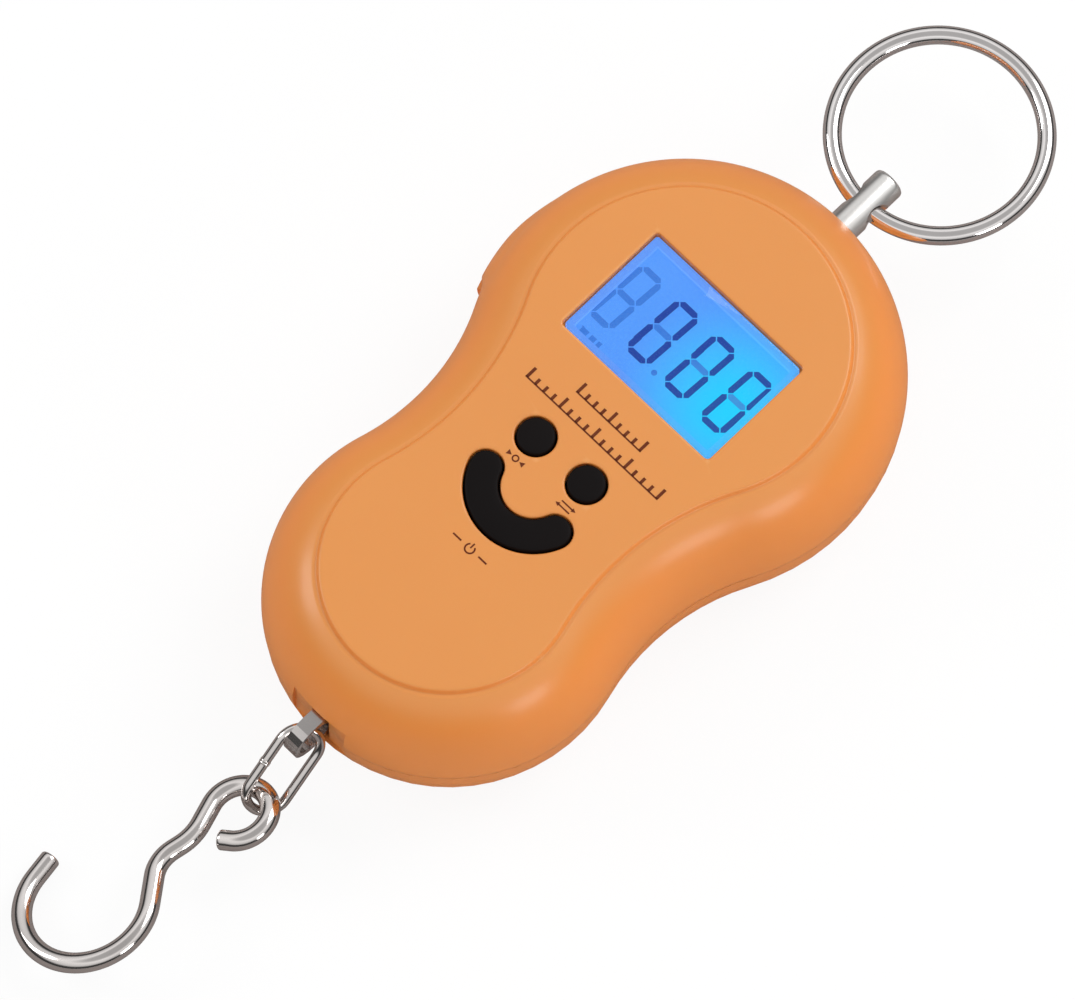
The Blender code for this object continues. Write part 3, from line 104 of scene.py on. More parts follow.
class GroupMaker:
    """Builds one shader node group with named sockets."""

    def __init__(self, name: str) -> None:
        """Starts an empty group.

        Args:
            name: The group's name.
        """
        self.tree = bpy.data.node_groups.new(name, "ShaderNodeTree")
        self.source = self.tree.nodes.new("NodeGroupInput")
        self.sink = self.tree.nodes.new("NodeGroupOutput")

    def takes(self, name: str, kind: str, value: float | tuple[float, ...]) -> None:
        """Adds an input socket.

        Args:
            name: The socket's name.
            kind: Its socket type.
            value: Its value where none is given.
        """
        socket = self.tree.interface.new_socket(name, in_out="INPUT", socket_type=kind)
        socket.default_value = value

    def gives(self, name: str, kind: str) -> None:
        """Adds an output socket.

        Args:
            name: The socket's name.
            kind: Its socket type.
        """
        self.tree.interface.new_socket(name, in_out="OUTPUT", socket_type=kind)

    def node(self, kind: str, **settings: object) -> Node:
        """Adds a node.

        Args:
            kind: The node's type.
            **settings: Properties to set on it.

        Returns:
            The new node.
        """
        made = self.tree.nodes.new(kind)
        for key, value in settings.items():
            setattr(made, key, value)
        return made

    def wire(self, start: Socket, end: Socket) -> None:
        """Links an output socket to an input socket."""
        self.tree.links.new(start, end)

    def feed(self, name: str, end: Socket) -> None:
        """Links the group's input of that name to a socket."""
        self.wire(self.source.outputs[name], end)

    def emit(self, start: Socket, name: str) -> None:
        """Links a socket to the group's output of that name."""
        self.wire(start, self.sink.inputs[name])

    def skin_outputs(self) -> None:
        """Adds the outputs that every surface skin has."""
        self.gives("Colour", "NodeSocketColor")
        self.gives("Roughness", "NodeSocketFloat")
        self.gives("Height", "NodeSocketFloat")

    def noise(self, place: Socket, scale: str, detail: float) -> Node:
        """Adds a noise texture.

        Args:
            place: The socket that gives it its coordinates.
            scale: The group's input that gives its scale.
            detail: Its detail.

        Returns:
            The texture's node.
        """
        made = self.node("ShaderNodeTexNoise")
        made.inputs["Detail"].default_value = detail
        self.wire(place, made.inputs["Vector"])
        self.feed(scale, made.inputs["Scale"])
        return made

    def clouds(self, place: Socket, scale: str, detail: float, colours: tuple[str, str]) -> None:
        """Adds slow clouds that mix two colours and two glosses.

        Args:
            place: The socket that gives their coordinates.
            scale: The group's input that gives their scale.
            detail: Their detail.
            colours: The group's inputs that give the two colours.
        """
        cloud = self.noise(place, scale, detail)
        blend = self.node("ShaderNodeMix", data_type="RGBA")
        self.wire(cloud.outputs["Fac"], blend.inputs[MIX_SHARE])
        self.feed(colours[0], blend.inputs[MIX_LOW])
        self.feed(colours[1], blend.inputs[MIX_HIGH])
        self.emit(blend.outputs[MIX_RESULT], "Colour")
        gloss = self.node("ShaderNodeMapRange")
        self.wire(cloud.outputs["Fac"], gloss.inputs["Value"])
        self.feed("Gloss Low", gloss.inputs["To Min"])
        self.feed("Gloss High", gloss.inputs["To Max"])
        self.emit(gloss.outputs["Result"], "Roughness")


def moulded_skin_group() -> Tree:
    """Makes the skin of a moulded plastic: slow colour drift, a fine grain and a varied gloss.

    Returns:
        The node group.
    """
    group = GroupMaker("moulded_skin")
    group.takes("Colour", "NodeSocketColor", (0.8, 0.3, 0.1, 1.0))
    group.takes("Drift Colour", "NodeSocketColor", (0.7, 0.25, 0.08, 1.0))
    group.takes("Drift Scale", "NodeSocketFloat", 40.0)
    group.takes("Grain Scale", "NodeSocketFloat", 3000.0)
    group.takes("Gloss Low", "NodeSocketFloat", 0.32)
    group.takes("Gloss High", "NodeSocketFloat", 0.44)
    group.skin_outputs()
    place = group.node("ShaderNodeTexCoord")
    group.clouds(place.outputs["Object"], "Drift Scale", 3.0, ("Colour", "Drift Colour"))
    grain = group.noise(place.outputs["Object"], "Grain Scale", 2.0)
    group.emit(grain.outputs["Fac"], "Height")
    return group.tree


def drawn_metal_group() -> Tree:
    """Makes the skin of a plated or drawn metal: faint clouds, pits and fine drawing lines.

    Returns:
        The node group.
    """
    group = GroupMaker("drawn_metal")
    group.takes("Bright", "NodeSocketColor", (0.7, 0.7, 0.7, 1.0))
    group.takes("Dull", "NodeSocketColor", (0.5, 0.5, 0.5, 1.0))
    group.takes("Cloud Scale", "NodeSocketFloat", 150.0)
    group.takes("Line Scale", "NodeSocketFloat", 2500.0)
    group.takes("Line Stretch", "NodeSocketVector", (1.0, 0.05, 1.0))
    group.takes("Gloss Low", "NodeSocketFloat", 0.08)
    group.takes("Gloss High", "NodeSocketFloat", 0.22)
    group.skin_outputs()
    place = group.node("ShaderNodeTexCoord")
    group.clouds(place.outputs["Object"], "Cloud Scale", 4.0, ("Bright", "Dull"))
    stretch = group.node("ShaderNodeVectorMath", operation="MULTIPLY")
    group.wire(place.outputs["Object"], stretch.inputs[0])
    group.feed("Line Stretch", stretch.inputs[1])
    lines = group.noise(stretch.outputs["Vector"], "Line Scale", 3.0)
    group.emit(lines.outputs["Fac"], "Height")
    return group.tree


def rubbed_edge_group() -> Tree:
    """Makes a mask of the edges and corners that hands rub smooth.

    Returns:
        The node group.
    """
    group = GroupMaker("rubbed_edge")
    group.takes("Start", "NodeSocketFloat", 0.52)
    group.takes("Full", "NodeSocketFloat", 0.62)
    group.takes("Break Scale", "NodeSocketFloat", 600.0)
    group.gives("Mask", "NodeSocketFloat")
    shape = group.node("ShaderNodeNewGeometry")
    ramp = group.node("ShaderNodeMapRange")
    group.wire(shape.outputs["Pointiness"], ramp.inputs["Value"])
    group.feed("Start", ramp.inputs["From Min"])
    group.feed("Full", ramp.inputs["From Max"])
    place = group.node("ShaderNodeTexCoord")
    breaks = group.node("ShaderNodeTexNoise")
    group.wire(place.outputs["Object"], breaks.inputs["Vector"])
    group.feed("Break Scale", breaks.inputs["Scale"])
    both = group.node("ShaderNodeMath", operation="MULTIPLY", use_clamp=True)
    group.wire(ramp.outputs["Result"], both.inputs[0])
    group.wire(breaks.outputs["Fac"], both.inputs[1])
    group.emit(both.outputs["Value"], "Mask")
    return group.tree


class Groups:
    """The shader node groups, each built once."""

    def __init__(self) -> None:
        """Builds every group."""
        self.moulded_skin = moulded_skin_group()
        self.drawn_metal = drawn_metal_group()
        self.rubbed_edge = rubbed_edge_group()


# ---- Finishes ------------------------------------------------------------------------------------


class Coat:
    """One material under construction, with its shader at hand."""

    def __init__(self, name: str) -> None:
        """Starts a material.

        Args:
            name: The material's name.
        """
        self.material = bpy.data.materials.new(name)
        self.material.use_nodes = True
        self.tree = self.material.node_tree
        self.shader = self.tree.nodes["Principled BSDF"]

    def node(self, kind: str, **settings: object) -> Node:
        """Adds a node.

        Args:
            kind: The node's type.
            **settings: Properties to set on it.

        Returns:
            The new node.
        """
        made = self.tree.nodes.new(kind)
        for key, value in settings.items():
            setattr(made, key, value)
        return made

    def group(self, tree: Tree, **values: object) -> Node:
        """Places a node group.

        Args:
            tree: The group.
            **values: Its input values, with _ for each space in a socket's name.

        Returns:
            The group's node.
        """
        made = self.node("ShaderNodeGroup", node_tree=tree)
        for key, value in values.items():
            made.inputs[key.replace("_", " ")].default_value = value
        return made

    def wire(self, start: Socket, end: Socket | str) -> None:
        """Links an output to a socket, or to the shader's socket of that name."""
        end = self.shader.inputs[end] if isinstance(end, str) else end
        self.tree.links.new(start, end)

    def set(self, **values: object) -> None:
        """Sets sockets of the shader, with _ for each space in a socket's name."""
        for key, value in values.items():
            self.shader.inputs[key.replace("_", " ")].default_value = value

    def bump(self, height: Socket, strength: float, depth: float) -> None:
        """Turns a height into the shader's normal.

        Args:
            height: The height's socket.
            strength: How strong the bump is, from 0 to 1.
            depth: Its depth in metres.
        """
        node = self.node("ShaderNodeBump")
        node.inputs["Strength"].default_value = strength
        node.inputs["Distance"].default_value = depth
        self.wire(height, node.inputs["Height"])
        self.wire(node.outputs["Normal"], "Normal")

    def blend(
        self, mask: Socket, low: Socket | Colour, high: Colour
    ) -> Socket:
        """Mixes two colours by a mask.

        Args:
            mask: The mask's socket.
            low: The colour, or its socket, where the mask is 0.
            high: The colour where the mask is 1.

        Returns:
            The mixed colour's socket.
        """
        node = self.node("ShaderNodeMix", data_type="RGBA")
        self.wire(mask, node.inputs[MIX_SHARE])
        if isinstance(low, tuple):
            node.inputs[MIX_LOW].default_value = (*low, 1.0)
        else:
            self.wire(low, node.inputs[MIX_LOW])
        node.inputs[MIX_HIGH].default_value = (*high, 1.0)
        return node.outputs[MIX_RESULT]


@dataclass(frozen=True)
class PlasticFinish:
    """A moulded plastic or rubber."""

    name: str
    colour: Colour
    drift: Colour
    rubbed: Colour
    gloss: Row = (0.32, 0.42)
    drift_scale: float = 45.0
    grain_scale: float = 2600.0
    grain_depth: float = 0.00002
    coat_weight: float = 0.0
    soft_light: float = 0.0
    shine: float = 0.35
    # Colour painted onto tilted faces as shade: a redder, more saturated copy of the plastic's colour.
    side: Colour | None = None

    def make(self, groups: Groups) -> Material:
        """Builds the material.

        Args:
            groups: The shared node groups.

        Returns:
            The material.
        """
        coat = Coat(self.name)
        skin = coat.group(
            groups.moulded_skin,
            Colour=(*self.colour, 1.0),
            Drift_Colour=(*self.drift, 1.0),
            Drift_Scale=self.drift_scale,
            Grain_Scale=self.grain_scale,
            Gloss_Low=self.gloss[0],
            Gloss_High=self.gloss[1],
        )
        edge = coat.group(groups.rubbed_edge, Start=0.55, Full=0.72, Break_Scale=500.0)
        colour = skin.outputs["Colour"]
        # Tilted faces take the side colour: painted shade, not a change in the plastic.
        if self.side is not None:
            colour = coat.blend(self.painted_shade_tilt_mask(coat), colour, self.side)
        colour = coat.blend(edge.outputs["Mask"], colour, self.rubbed)
        coat.wire(colour, "Base Color")
        coat.wire(skin.outputs["Roughness"], "Roughness")
        coat.bump(skin.outputs["Height"], 0.25, self.grain_depth)
        coat.set(Coat_Weight=self.coat_weight, Coat_Roughness=0.18, Subsurface_Weight=self.soft_light)
        coat.set(Subsurface_Radius=(0.6, 0.25, 0.08), Subsurface_Scale=0.002)
        coat.set(Specular_IOR_Level=self.shine)
        return coat.material

    def painted_shade_tilt_mask(self, coat: Coat) -> Socket:
        """Makes a mask of the tilted sides, where a redder colour is painted in as shade.

        Args:
            coat: The material.

        Returns:
            The mask's socket.
        """
        place = coat.node("ShaderNodeTexCoord")
        split = coat.node("ShaderNodeSeparateXYZ")
        coat.wire(place.outputs["Normal"], split.inputs["Vector"])
        ramp = coat.node("ShaderNodeMapRange", interpolation_type="SMOOTHSTEP")
        ramp.inputs["From Min"].default_value = 0.99
        ramp.inputs["From Max"].default_value = 0.55
        coat.wire(split.outputs["Z"], ramp.inputs["Value"])
        return ramp.outputs["Result"]


@dataclass(frozen=True)
class MetalFinish:
    """A plated, ground or drawn metal."""

    name: str
    bright: Colour
    dull: Colour
    gloss: Row = (0.07, 0.20)
    cloud_scale: float = 180.0
    line_scale: float = 2400.0
    stretch: tuple[float, float, float] = (1.0, 1.0, 1.0)
    line_depth: float = 0.000008

    def make(self, groups: Groups) -> Material:
        """Builds the material.

        Args:
            groups: The shared node groups.

        Returns:
            The material.
        """
        coat = Coat(self.name)
        skin = coat.group(
            groups.drawn_metal,
            Bright=(*self.bright, 1.0),
            Dull=(*self.dull, 1.0),
            Cloud_Scale=self.cloud_scale,
            Line_Scale=self.line_scale,
            Line_Stretch=self.stretch,
            Gloss_Low=self.gloss[0],
            Gloss_High=self.gloss[1],
        )
        coat.wire(skin.outputs["Colour"], "Base Color")
        coat.wire(skin.outputs["Roughness"], "Roughness")
        coat.bump(skin.outputs["Height"], 0.2, self.line_depth)
        coat.set(Metallic=1.0)
        return coat.material


@dataclass(frozen=True)
class ClearFinish:
    """A clear moulded window."""

    name: str
    colour: Colour
    ior: float = 1.30

    def make(self, groups: Groups) -> Material:
        """Builds the material.

        Args:
            groups: The shared node groups.

        Returns:
            The material.
        """
        coat = Coat(self.name)
        skin = coat.group(
            groups.moulded_skin,
            Colour=(*self.colour, 1.0),
            Drift_Colour=(*self.colour, 1.0),
            Drift_Scale=60.0,
            Gloss_Low=0.015,
            Gloss_High=0.05,
        )
        coat.wire(skin.outputs["Colour"], "Base Color")
        coat.wire(skin.outputs["Roughness"], "Roughness")
        coat.set(Transmission_Weight=1.0, IOR=self.ior)
        return coat.material


@dataclass(frozen=True)
class GlowFinish:
    """The backlit face of a liquid-crystal display, brightest beside its lamp."""

    name: str
    far: Colour
    near: Colour
    lamp: tuple[float, float, float]
    reach: float
    strength: float
    base: float = 0.12

    def unlit(self, colour: Colour) -> Colour:
        """The colour without the lamp's light."""
        return tuple(channel * self.base for channel in colour)

    def make(self, groups: Groups) -> Material:
        """Builds the material.

        Args:
            groups: The shared node groups.

        Returns:
            The material.
        """
        coat = Coat(self.name)
        place = coat.node("ShaderNodeTexCoord")
        away = coat.node("ShaderNodeVectorMath", operation="DISTANCE")
        away.inputs[1].default_value = self.lamp
        coat.wire(place.outputs["Object"], away.inputs[0])
        ramp = coat.node("ShaderNodeMapRange", interpolation_type="SMOOTHSTEP")
        ramp.inputs["From Max"].default_value = self.reach
        ramp.inputs["To Min"].default_value = 1.0
        ramp.inputs["To Max"].default_value = 0.0
        coat.wire(away.outputs["Value"], ramp.inputs["Value"])
        colour = coat.blend(ramp.outputs["Result"], self.far, self.near)
        skin = coat.group(groups.moulded_skin, Gloss_Low=0.10, Gloss_High=0.20, Drift_Scale=80.0)
        cloud = coat.node("ShaderNodeMix", data_type="RGBA", blend_type="SOFT_LIGHT")
        cloud.inputs[MIX_SHARE].default_value = 0.25
        coat.wire(colour, cloud.inputs[MIX_LOW])
        coat.wire(skin.outputs["Height"], cloud.inputs[MIX_HIGH])
        unlit = coat.blend(ramp.outputs["Result"], self.unlit(self.far), self.unlit(self.near))
        coat.wire(unlit, "Base Color")
        coat.wire(cloud.outputs[MIX_RESULT], "Emission Color")
        coat.wire(skin.outputs["Roughness"], "Roughness")
        coat.set(Emission_Strength=self.strength, Specular_IOR_Level=0.08)
        return coat.material


@dataclass(frozen=True)
class SleeveFinish:
    """A cell's printed sleeve, banded along Y between its two bare ends."""

    name: str
    low_y: float
    high_y: float
    positive_up: bool

    def make(self, groups: Groups) -> Material:
        """Builds the material.

        Args:
            groups: The shared node groups.

        Returns:
            The material.
        """
        coat = Coat(self.name)
        place = coat.node("ShaderNodeTexCoord")
        split = coat.node("ShaderNodeSeparateXYZ")
        coat.wire(place.outputs["Object"], split.inputs["Vector"])
        along = coat.node("ShaderNodeMapRange")
        ends = (self.low_y, self.high_y) if self.positive_up else (self.high_y, self.low_y)
        along.inputs["From Min"].default_value = ends[0]
        along.inputs["From Max"].default_value = ends[1]
        coat.wire(split.outputs["Y"], along.inputs["Value"])
        bands = coat.node("ShaderNodeValToRGB")
        bands.color_ramp.interpolation = "CONSTANT"
        stops = (
            (0.0, (0.70, 0.70, 0.72)),
            (0.025, (0.02, 0.02, 0.025)),
            (0.66, (0.75, 0.75, 0.72)),
            (0.68, (0.06, 0.16, 0.42)),
            (0.955, (0.70, 0.70, 0.72)),
        )
        while len(bands.color_ramp.elements) < len(stops):
            bands.color_ramp.elements.new(1.0)
        for element, (spot, colour) in zip(bands.color_ramp.elements, stops):
            element.position = spot
            element.color = (*colour, 1.0)
        coat.wire(along.outputs["Result"], bands.inputs["Fac"])
        coat.wire(bands.outputs["Color"], "Base Color")
        skin = coat.group(groups.moulded_skin, Gloss_Low=0.18, Gloss_High=0.30, Grain_Scale=1500.0)
        coat.wire(skin.outputs["Roughness"], "Roughness")
        coat.bump(skin.outputs["Height"], 0.1, 0.00001)
        coat.set(Metallic=0.35)
        return coat.material


@dataclass(frozen=True)
class BoardFinish:
    """A circuit board's solder mask over its copper traces."""

    name: str
    mask: Colour
    trace: Colour

    def make(self, groups: Groups) -> Material:
        """Builds the material.

        Args:
            groups: The shared node groups.

        Returns:
            The material.
        """
        coat = Coat(self.name)
        place = coat.node("ShaderNodeTexCoord")
        bricks = coat.node("ShaderNodeTexBrick")
        bricks.inputs["Scale"].default_value = 260.0
        bricks.inputs["Mortar Size"].default_value = 0.05
        bricks.inputs["Color1"].default_value = (0.0, 0.0, 0.0, 1.0)
        bricks.inputs["Color2"].default_value = (0.12, 0.12, 0.12, 1.0)
        bricks.inputs["Mortar"].default_value = (1.0, 1.0, 1.0, 1.0)
        coat.wire(place.outputs["Object"], bricks.inputs["Vector"])
        colour = coat.blend(bricks.outputs["Color"], self.mask, self.trace)
        coat.wire(colour, "Base Color")
        skin = coat.group(groups.moulded_skin, Gloss_Low=0.25, Gloss_High=0.38, Grain_Scale=900.0)
        coat.wire(skin.outputs["Roughness"], "Roughness")
        coat.bump(bricks.outputs["Color"], 0.3, 0.00002)
        return coat.material


class Finishes:
    """Every finish of the scale, built once."""

    def __init__(self, groups: Groups) -> None:
        """Builds every material.

        Args:
            groups: The shared node groups.
        """
        orange = PlasticFinish(
            "orange_case", (0.76, 0.300, 0.078), (0.73, 0.278, 0.068), (0.82, 0.40, 0.15),
            gloss=(0.34, 0.42), coat_weight=0.14, soft_light=0.10, shine=0.42,
            # side: painted shade, the redder orange that the rim's tilted faces are painted with.
            side=(0.85, 0.275, 0.052),
        )
        self.orange = orange.make(groups)
        self.door = PlasticFinish(
            "orange_door", (0.80, 0.285, 0.065), (0.76, 0.260, 0.052), (0.88, 0.42, 0.16),
            gloss=(0.38, 0.50), grain_scale=1800.0, soft_light=0.1,
        ).make(groups)
        self.rubber = PlasticFinish(
            "button_rubber", (0.006, 0.005, 0.005), (0.009, 0.007, 0.007), (0.02, 0.018, 0.017),
            gloss=(0.42, 0.55), grain_scale=2200.0, shine=0.05,
        ).make(groups)
        self.print = PlasticFinish(
            "print_ink", (0.13, 0.025, 0.010), (0.11, 0.020, 0.008), (0.18, 0.05, 0.02),
            gloss=(0.5, 0.6), shine=0.1,
        ).make(groups)
        self.window = ClearFinish("display_window", (0.97, 0.99, 1.0)).make(groups)
        self.ring = MetalFinish(
            "ring_chrome", (0.86, 0.83, 0.82), (0.74, 0.71, 0.70), gloss=(0.04, 0.11),
        ).make(groups)
        self.wire = MetalFinish(
            "hook_nickel", (0.80, 0.76, 0.74), (0.66, 0.62, 0.60), gloss=(0.06, 0.15),
        ).make(groups)
        self.rod = MetalFinish(
            "rod_nickel", (0.84, 0.83, 0.81), (0.72, 0.70, 0.68), gloss=(0.28, 0.40),
            stretch=(1.0, 0.06, 1.0),
        ).make(groups)
        self.plate = MetalFinish(
            "load_cell_steel", (0.66, 0.63, 0.61), (0.48, 0.45, 0.44), gloss=(0.16, 0.30),
            stretch=(1.0, 0.08, 1.0),
        ).make(groups)
        self.screw = MetalFinish(
            "screw_zinc", (0.52, 0.52, 0.54), (0.36, 0.36, 0.38), gloss=(0.20, 0.34),
        ).make(groups)
        self.contact = MetalFinish(
            "contact_nickel", (0.78, 0.74, 0.66), (0.62, 0.58, 0.50), gloss=(0.12, 0.26),
        ).make(groups)
        self.board = BoardFinish("circuit_board", (0.010, 0.11, 0.045), (0.03, 0.20, 0.09)).make(groups)
        self.small = self.small_parts(groups)

    def small_parts(self, groups: Groups) -> dict[str, Material]:
        """Builds the finishes of the little pieces inside the case.

        Args:
            groups: The shared node groups.

        Returns:
            The materials by name.
        """
        made = (
            PlasticFinish("switch_body", (0.03, 0.03, 0.03), (0.04, 0.04, 0.04), (0.1, 0.1, 0.1)),
            PlasticFinish("plunger", (0.65, 0.62, 0.54), (0.58, 0.55, 0.47), (0.75, 0.73, 0.68)),
            PlasticFinish("chip_epoxy", (0.01, 0.01, 0.01), (0.015, 0.015, 0.015), (0.03, 0.03, 0.03),
                          gloss=(0.12, 0.24), drift_scale=300.0),
            PlasticFinish("capacitor", (0.50, 0.33, 0.12), (0.42, 0.27, 0.10), (0.7, 0.68, 0.66)),
            PlasticFinish("zebra_rubber", (0.55, 0.28, 0.34), (0.48, 0.22, 0.28), (0.6, 0.35, 0.4)),
            PlasticFinish("light_guide", (0.62, 0.80, 0.95), (0.55, 0.74, 0.92), (0.8, 0.9, 1.0)),
            PlasticFinish("gauge_foil", (0.62, 0.38, 0.12), (0.52, 0.30, 0.08), (0.7, 0.5, 0.2),
                          gloss=(0.2, 0.3)),
            PlasticFinish("lead_red", (0.55, 0.02, 0.02), (0.48, 0.015, 0.015), (0.65, 0.08, 0.07)),
            PlasticFinish("lead_black", (0.012, 0.012, 0.013), (0.02, 0.02, 0.02), (0.05, 0.05, 0.05)),
            PlasticFinish("gauge_cable", (0.40, 0.40, 0.41), (0.34, 0.34, 0.35), (0.5, 0.5, 0.5)),
        )
        return {finish.name: finish.make(groups) for finish in made}


ROUND_BUTTON_RADIUS = 0.00258
SMILE_RADIUS = 0.0069
SMILE_BAND = 0.0044


def plan_middle(node: str) -> Point2:
    """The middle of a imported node, seen from the front."""
    low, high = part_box(node)
    return ((low.x + high.x) / 2, (low.y + high.y) / 2)


# ---- Making meshes -------------------------------------------------------------------------------


def arc(centre: Point2, radius: float, start: float, end: float, steps: int) -> list[Point2]:
    """Points along an arc, both ends included.

    Args:
        centre: The arc's centre.
        radius: Its radius.
        start: Its first angle in radians.
        end: Its last angle in radians.
        steps: How many pieces to cut it into.

    Returns:
        The points.
    """
    angles = [start + (end - start) * i / steps for i in range(steps + 1)]
    return [(centre[0] + radius * math.cos(a), centre[1] + radius * math.sin(a)) for a in angles]


class MeshMaker:
    """Builds one closed mesh from rings of points."""

    def __init__(self) -> None:
        """Starts an empty mesh."""
        self.bm = bmesh.new()

    def ring(self, points: Sequence[Sequence[float]], z: float | None = None) -> Ring:
        """Adds a ring of points.

        Args:
            points: The points, in two dimensions if z is given.
            z: The height of all of them.

        Returns:
            The ring's vertices.
        """
        if z is None:
            return [self.bm.verts.new(point) for point in points]
        return [self.bm.verts.new((point[0], point[1], z)) for point in points]

    def bridge(self, first: Ring, second: Ring) -> None:
        """Joins two rings of equal length with quads."""
        count = len(first)
        for i in range(count):
            j = (i + 1) % count
            self.bm.faces.new((first[i], first[j], second[j], second[i]))

    def stack(self, rings: Sequence[Ring]) -> None:
        """Joins each ring to the next."""
        for first, second in zip(rings, rings[1:]):
            self.bridge(first, second)

    def cap(self, ring: Ring) -> None:
        """Closes a ring with one face."""
        self.bm.faces.new(ring)

    def fill(self, rings: Sequence[Ring]) -> None:
        """Fills the flat space inside the first ring and outside the others.

        Args:
            rings: The rings, the outer one first.
        """
        edges = []
        for ring in rings:
            for i, vert in enumerate(ring):
                after = ring[(i + 1) % len(ring)]
                edges.append(self.bm.edges.get((vert, after)) or self.bm.edges.new((vert, after)))
        bmesh.ops.triangle_fill(self.bm, edges=edges, use_beauty=True, normal=(0.0, 0.0, 1.0))

    def tube(
        self, points: Sequence[Vector], radius: float, closed: bool = False, sides: int = 20
    ) -> None:
        """Sweeps a round section along points, with rounded rims at the ends of an open one.

        Args:
            points: The middle line.
            radius: The section's radius.
            closed: Whether the line joins up with itself.
            sides: How many sides the section has.
        """
        count = len(points)
        tangents = []
        for i in range(count):
            before = points[(i - 1) % count] if closed or i else points[0]
            after = points[(i + 1) % count] if closed or i < count - 1 else points[-1]
            tangents.append((after - before).normalized())
        side = tangents[0].orthogonal().normalized()
        sections = []
        for i, point in enumerate(points):
            if i:
                side = (side - tangents[i] * side.dot(tangents[i])).normalized()
            sections.append((point, side.copy(), tangents[i].cross(side)))
        if not closed:
            sections = self.round_ends(sections, tangents, radius)
        rings = []
        for section in sections:
            point, across, up = section[:3]
            reach = section[3] if len(section) > 3 else radius
            angles = [2 * math.pi * k / sides for k in range(sides)]
            rings.append(self.ring(
                [point + (across * math.cos(a) + up * math.sin(a)) * reach for a in angles]
            ))
        self.stack(rings)
        if closed:
            self.bridge_turned(rings[-1], rings[0])
        else:
            self.cap(rings[0])
            self.cap(rings[-1])

    def round_ends(
        self, sections: list[tuple], tangents: list[Vector], radius: float
    ) -> list[tuple]:
        """Adds sections that round off both ends of an open tube.

        Args:
            sections: The tube's sections.
            tangents: Its direction at each section.
            radius: Its radius.

        Returns:
            The sections, with the rounded ends added.
        """
        steps = ((0.0, 0.72), (0.03, 0.86), (0.10, 0.95), (0.22, 1.0))
        first, last = sections[0], sections[-1]
        start = [
            (first[0] + tangents[0] * radius * run, *first[1:3], radius * size)
            for run, size in steps
        ]
        end = [
            (last[0] - tangents[-1] * radius * run, *last[1:3], radius * size)
            for run, size in steps
        ]
        return start + sections[1:-1] + end[::-1]

    def bridge_turned(
        self, first: Ring, second: Ring
    ) -> None:
        """Joins two rings after turning the second to the best match.

        Args:
            first: One ring.
            second: The ring to turn.
        """
        count = len(first)
        best = min(range(count), key=lambda k: (first[0].co - second[k].co).length)
        self.bridge(first, second[best:] + second[:best])

    def turn(
        self, profile: Sequence[Row], origin: Vector, axis: Vector, sides: int = 48
    ) -> None:
        """Adds a closed turned body.

        Args:
            profile: (radius, distance along the axis) rows.
            origin: Where the axis starts.
            axis: The axis's direction.
            sides: How many sides it has.
        """
        axis = axis.normalized()
        across = axis.orthogonal().normalized()
        up = axis.cross(across)
        rings = []
        for radius, along in profile:
            angles = [2 * math.pi * k / sides for k in range(sides)]
            middle = origin + axis * along
            rings.append(self.ring(
                [middle + (across * math.cos(a) + up * math.sin(a)) * radius for a in angles]
            ))
        self.stack(rings)
        self.cap(rings[0])
        self.cap(rings[-1])

    def block(self, low: Sequence[float], high: Sequence[float], round_edge: float = 0.0) -> None:
        """Adds a box with rounded edges.

        Args:
            low: Its lowest corner.
            high: Its highest corner.
            round_edge: The radius of its edges.
        """
        made = bmesh.ops.create_cube(self.bm, size=1.0)
        for vert in made["verts"]:
            vert.co = Vector(
                (high[i] if vert.co[i] > 0 else low[i]) for i in range(3)
            )
        if round_edge > 0:
            edges = list(dict.fromkeys(edge for vert in made["verts"] for edge in vert.link_edges))
            bmesh.ops.bevel(
                self.bm, geom=edges, offset=round_edge, segments=3, affect="EDGES", profile=0.5
            )
            self.order_faces()

    def order_faces(self) -> None:
        """Puts the faces in the order of their corners, as a bevel leaves them in any order."""
        self.bm.verts.index_update()
        span = float(len(self.bm.verts))

        def place(face: bmesh.types.BMFace) -> float:
            """A number for a face, from its three lowest corners."""
            low, middle, high = sorted(vert.index for vert in face.verts)[:3]
            return (low * span + middle) * span + high

        self.bm.faces.sort(key=place)

    def slab(self, outline: Sequence[Point2], low: float, high: float, edge: float = 0.0) -> None:
        """Adds a flat piece of any outline, as its own closed body.

        Args:
            outline: Its outline.
            low: The height of its underside.
            high: The height of its top.
            edge: How far its top edge is chamfered.
        """
        rings = [self.ring(outline, low), self.ring(outline, high - edge)]
        if edge > 0:
            rings.append(self.ring(shrunk(outline, edge), high))
        self.stack(rings)
        self.cap(rings[0])
        self.cap(rings[-1])

    def finish(self, name: str, sharp_degrees: float = 40.0) -> Piece:
        """Turns the mesh into an object with faces out and smooth round sides.

        Args:
            name: The object's name.
            sharp_degrees: The angle from which an edge stays sharp.

        Returns:
            The object, linked into the scene.
        """
        bmesh.ops.recalc_face_normals(self.bm, faces=self.bm.faces)
        mesh = bpy.data.meshes.new(name)
        self.bm.to_mesh(mesh)
        self.bm.free()
        mesh.shade_smooth()
        mesh.set_sharp_from_angle(angle=math.radians(sharp_degrees))
        piece = bpy.data.objects.new(name, mesh)
        bpy.context.scene.collection.objects.link(piece)
        return piece


def shrunk(outline: Sequence[Point2], amount: float) -> list[Point2]:
    """Moves an anticlockwise outline inwards.

    Args:
        outline: The outline.
        amount: How far.

    Returns:
        The new outline.
    """
    count = len(outline)
    made = []
    for i, (x, y) in enumerate(outline):
        before, after = outline[i - 1], outline[(i + 1) % count]
        run = Vector((after[0] - before[0], after[1] - before[1])).normalized()
        made.append((x - run.y * amount, y + run.x * amount))
    return made


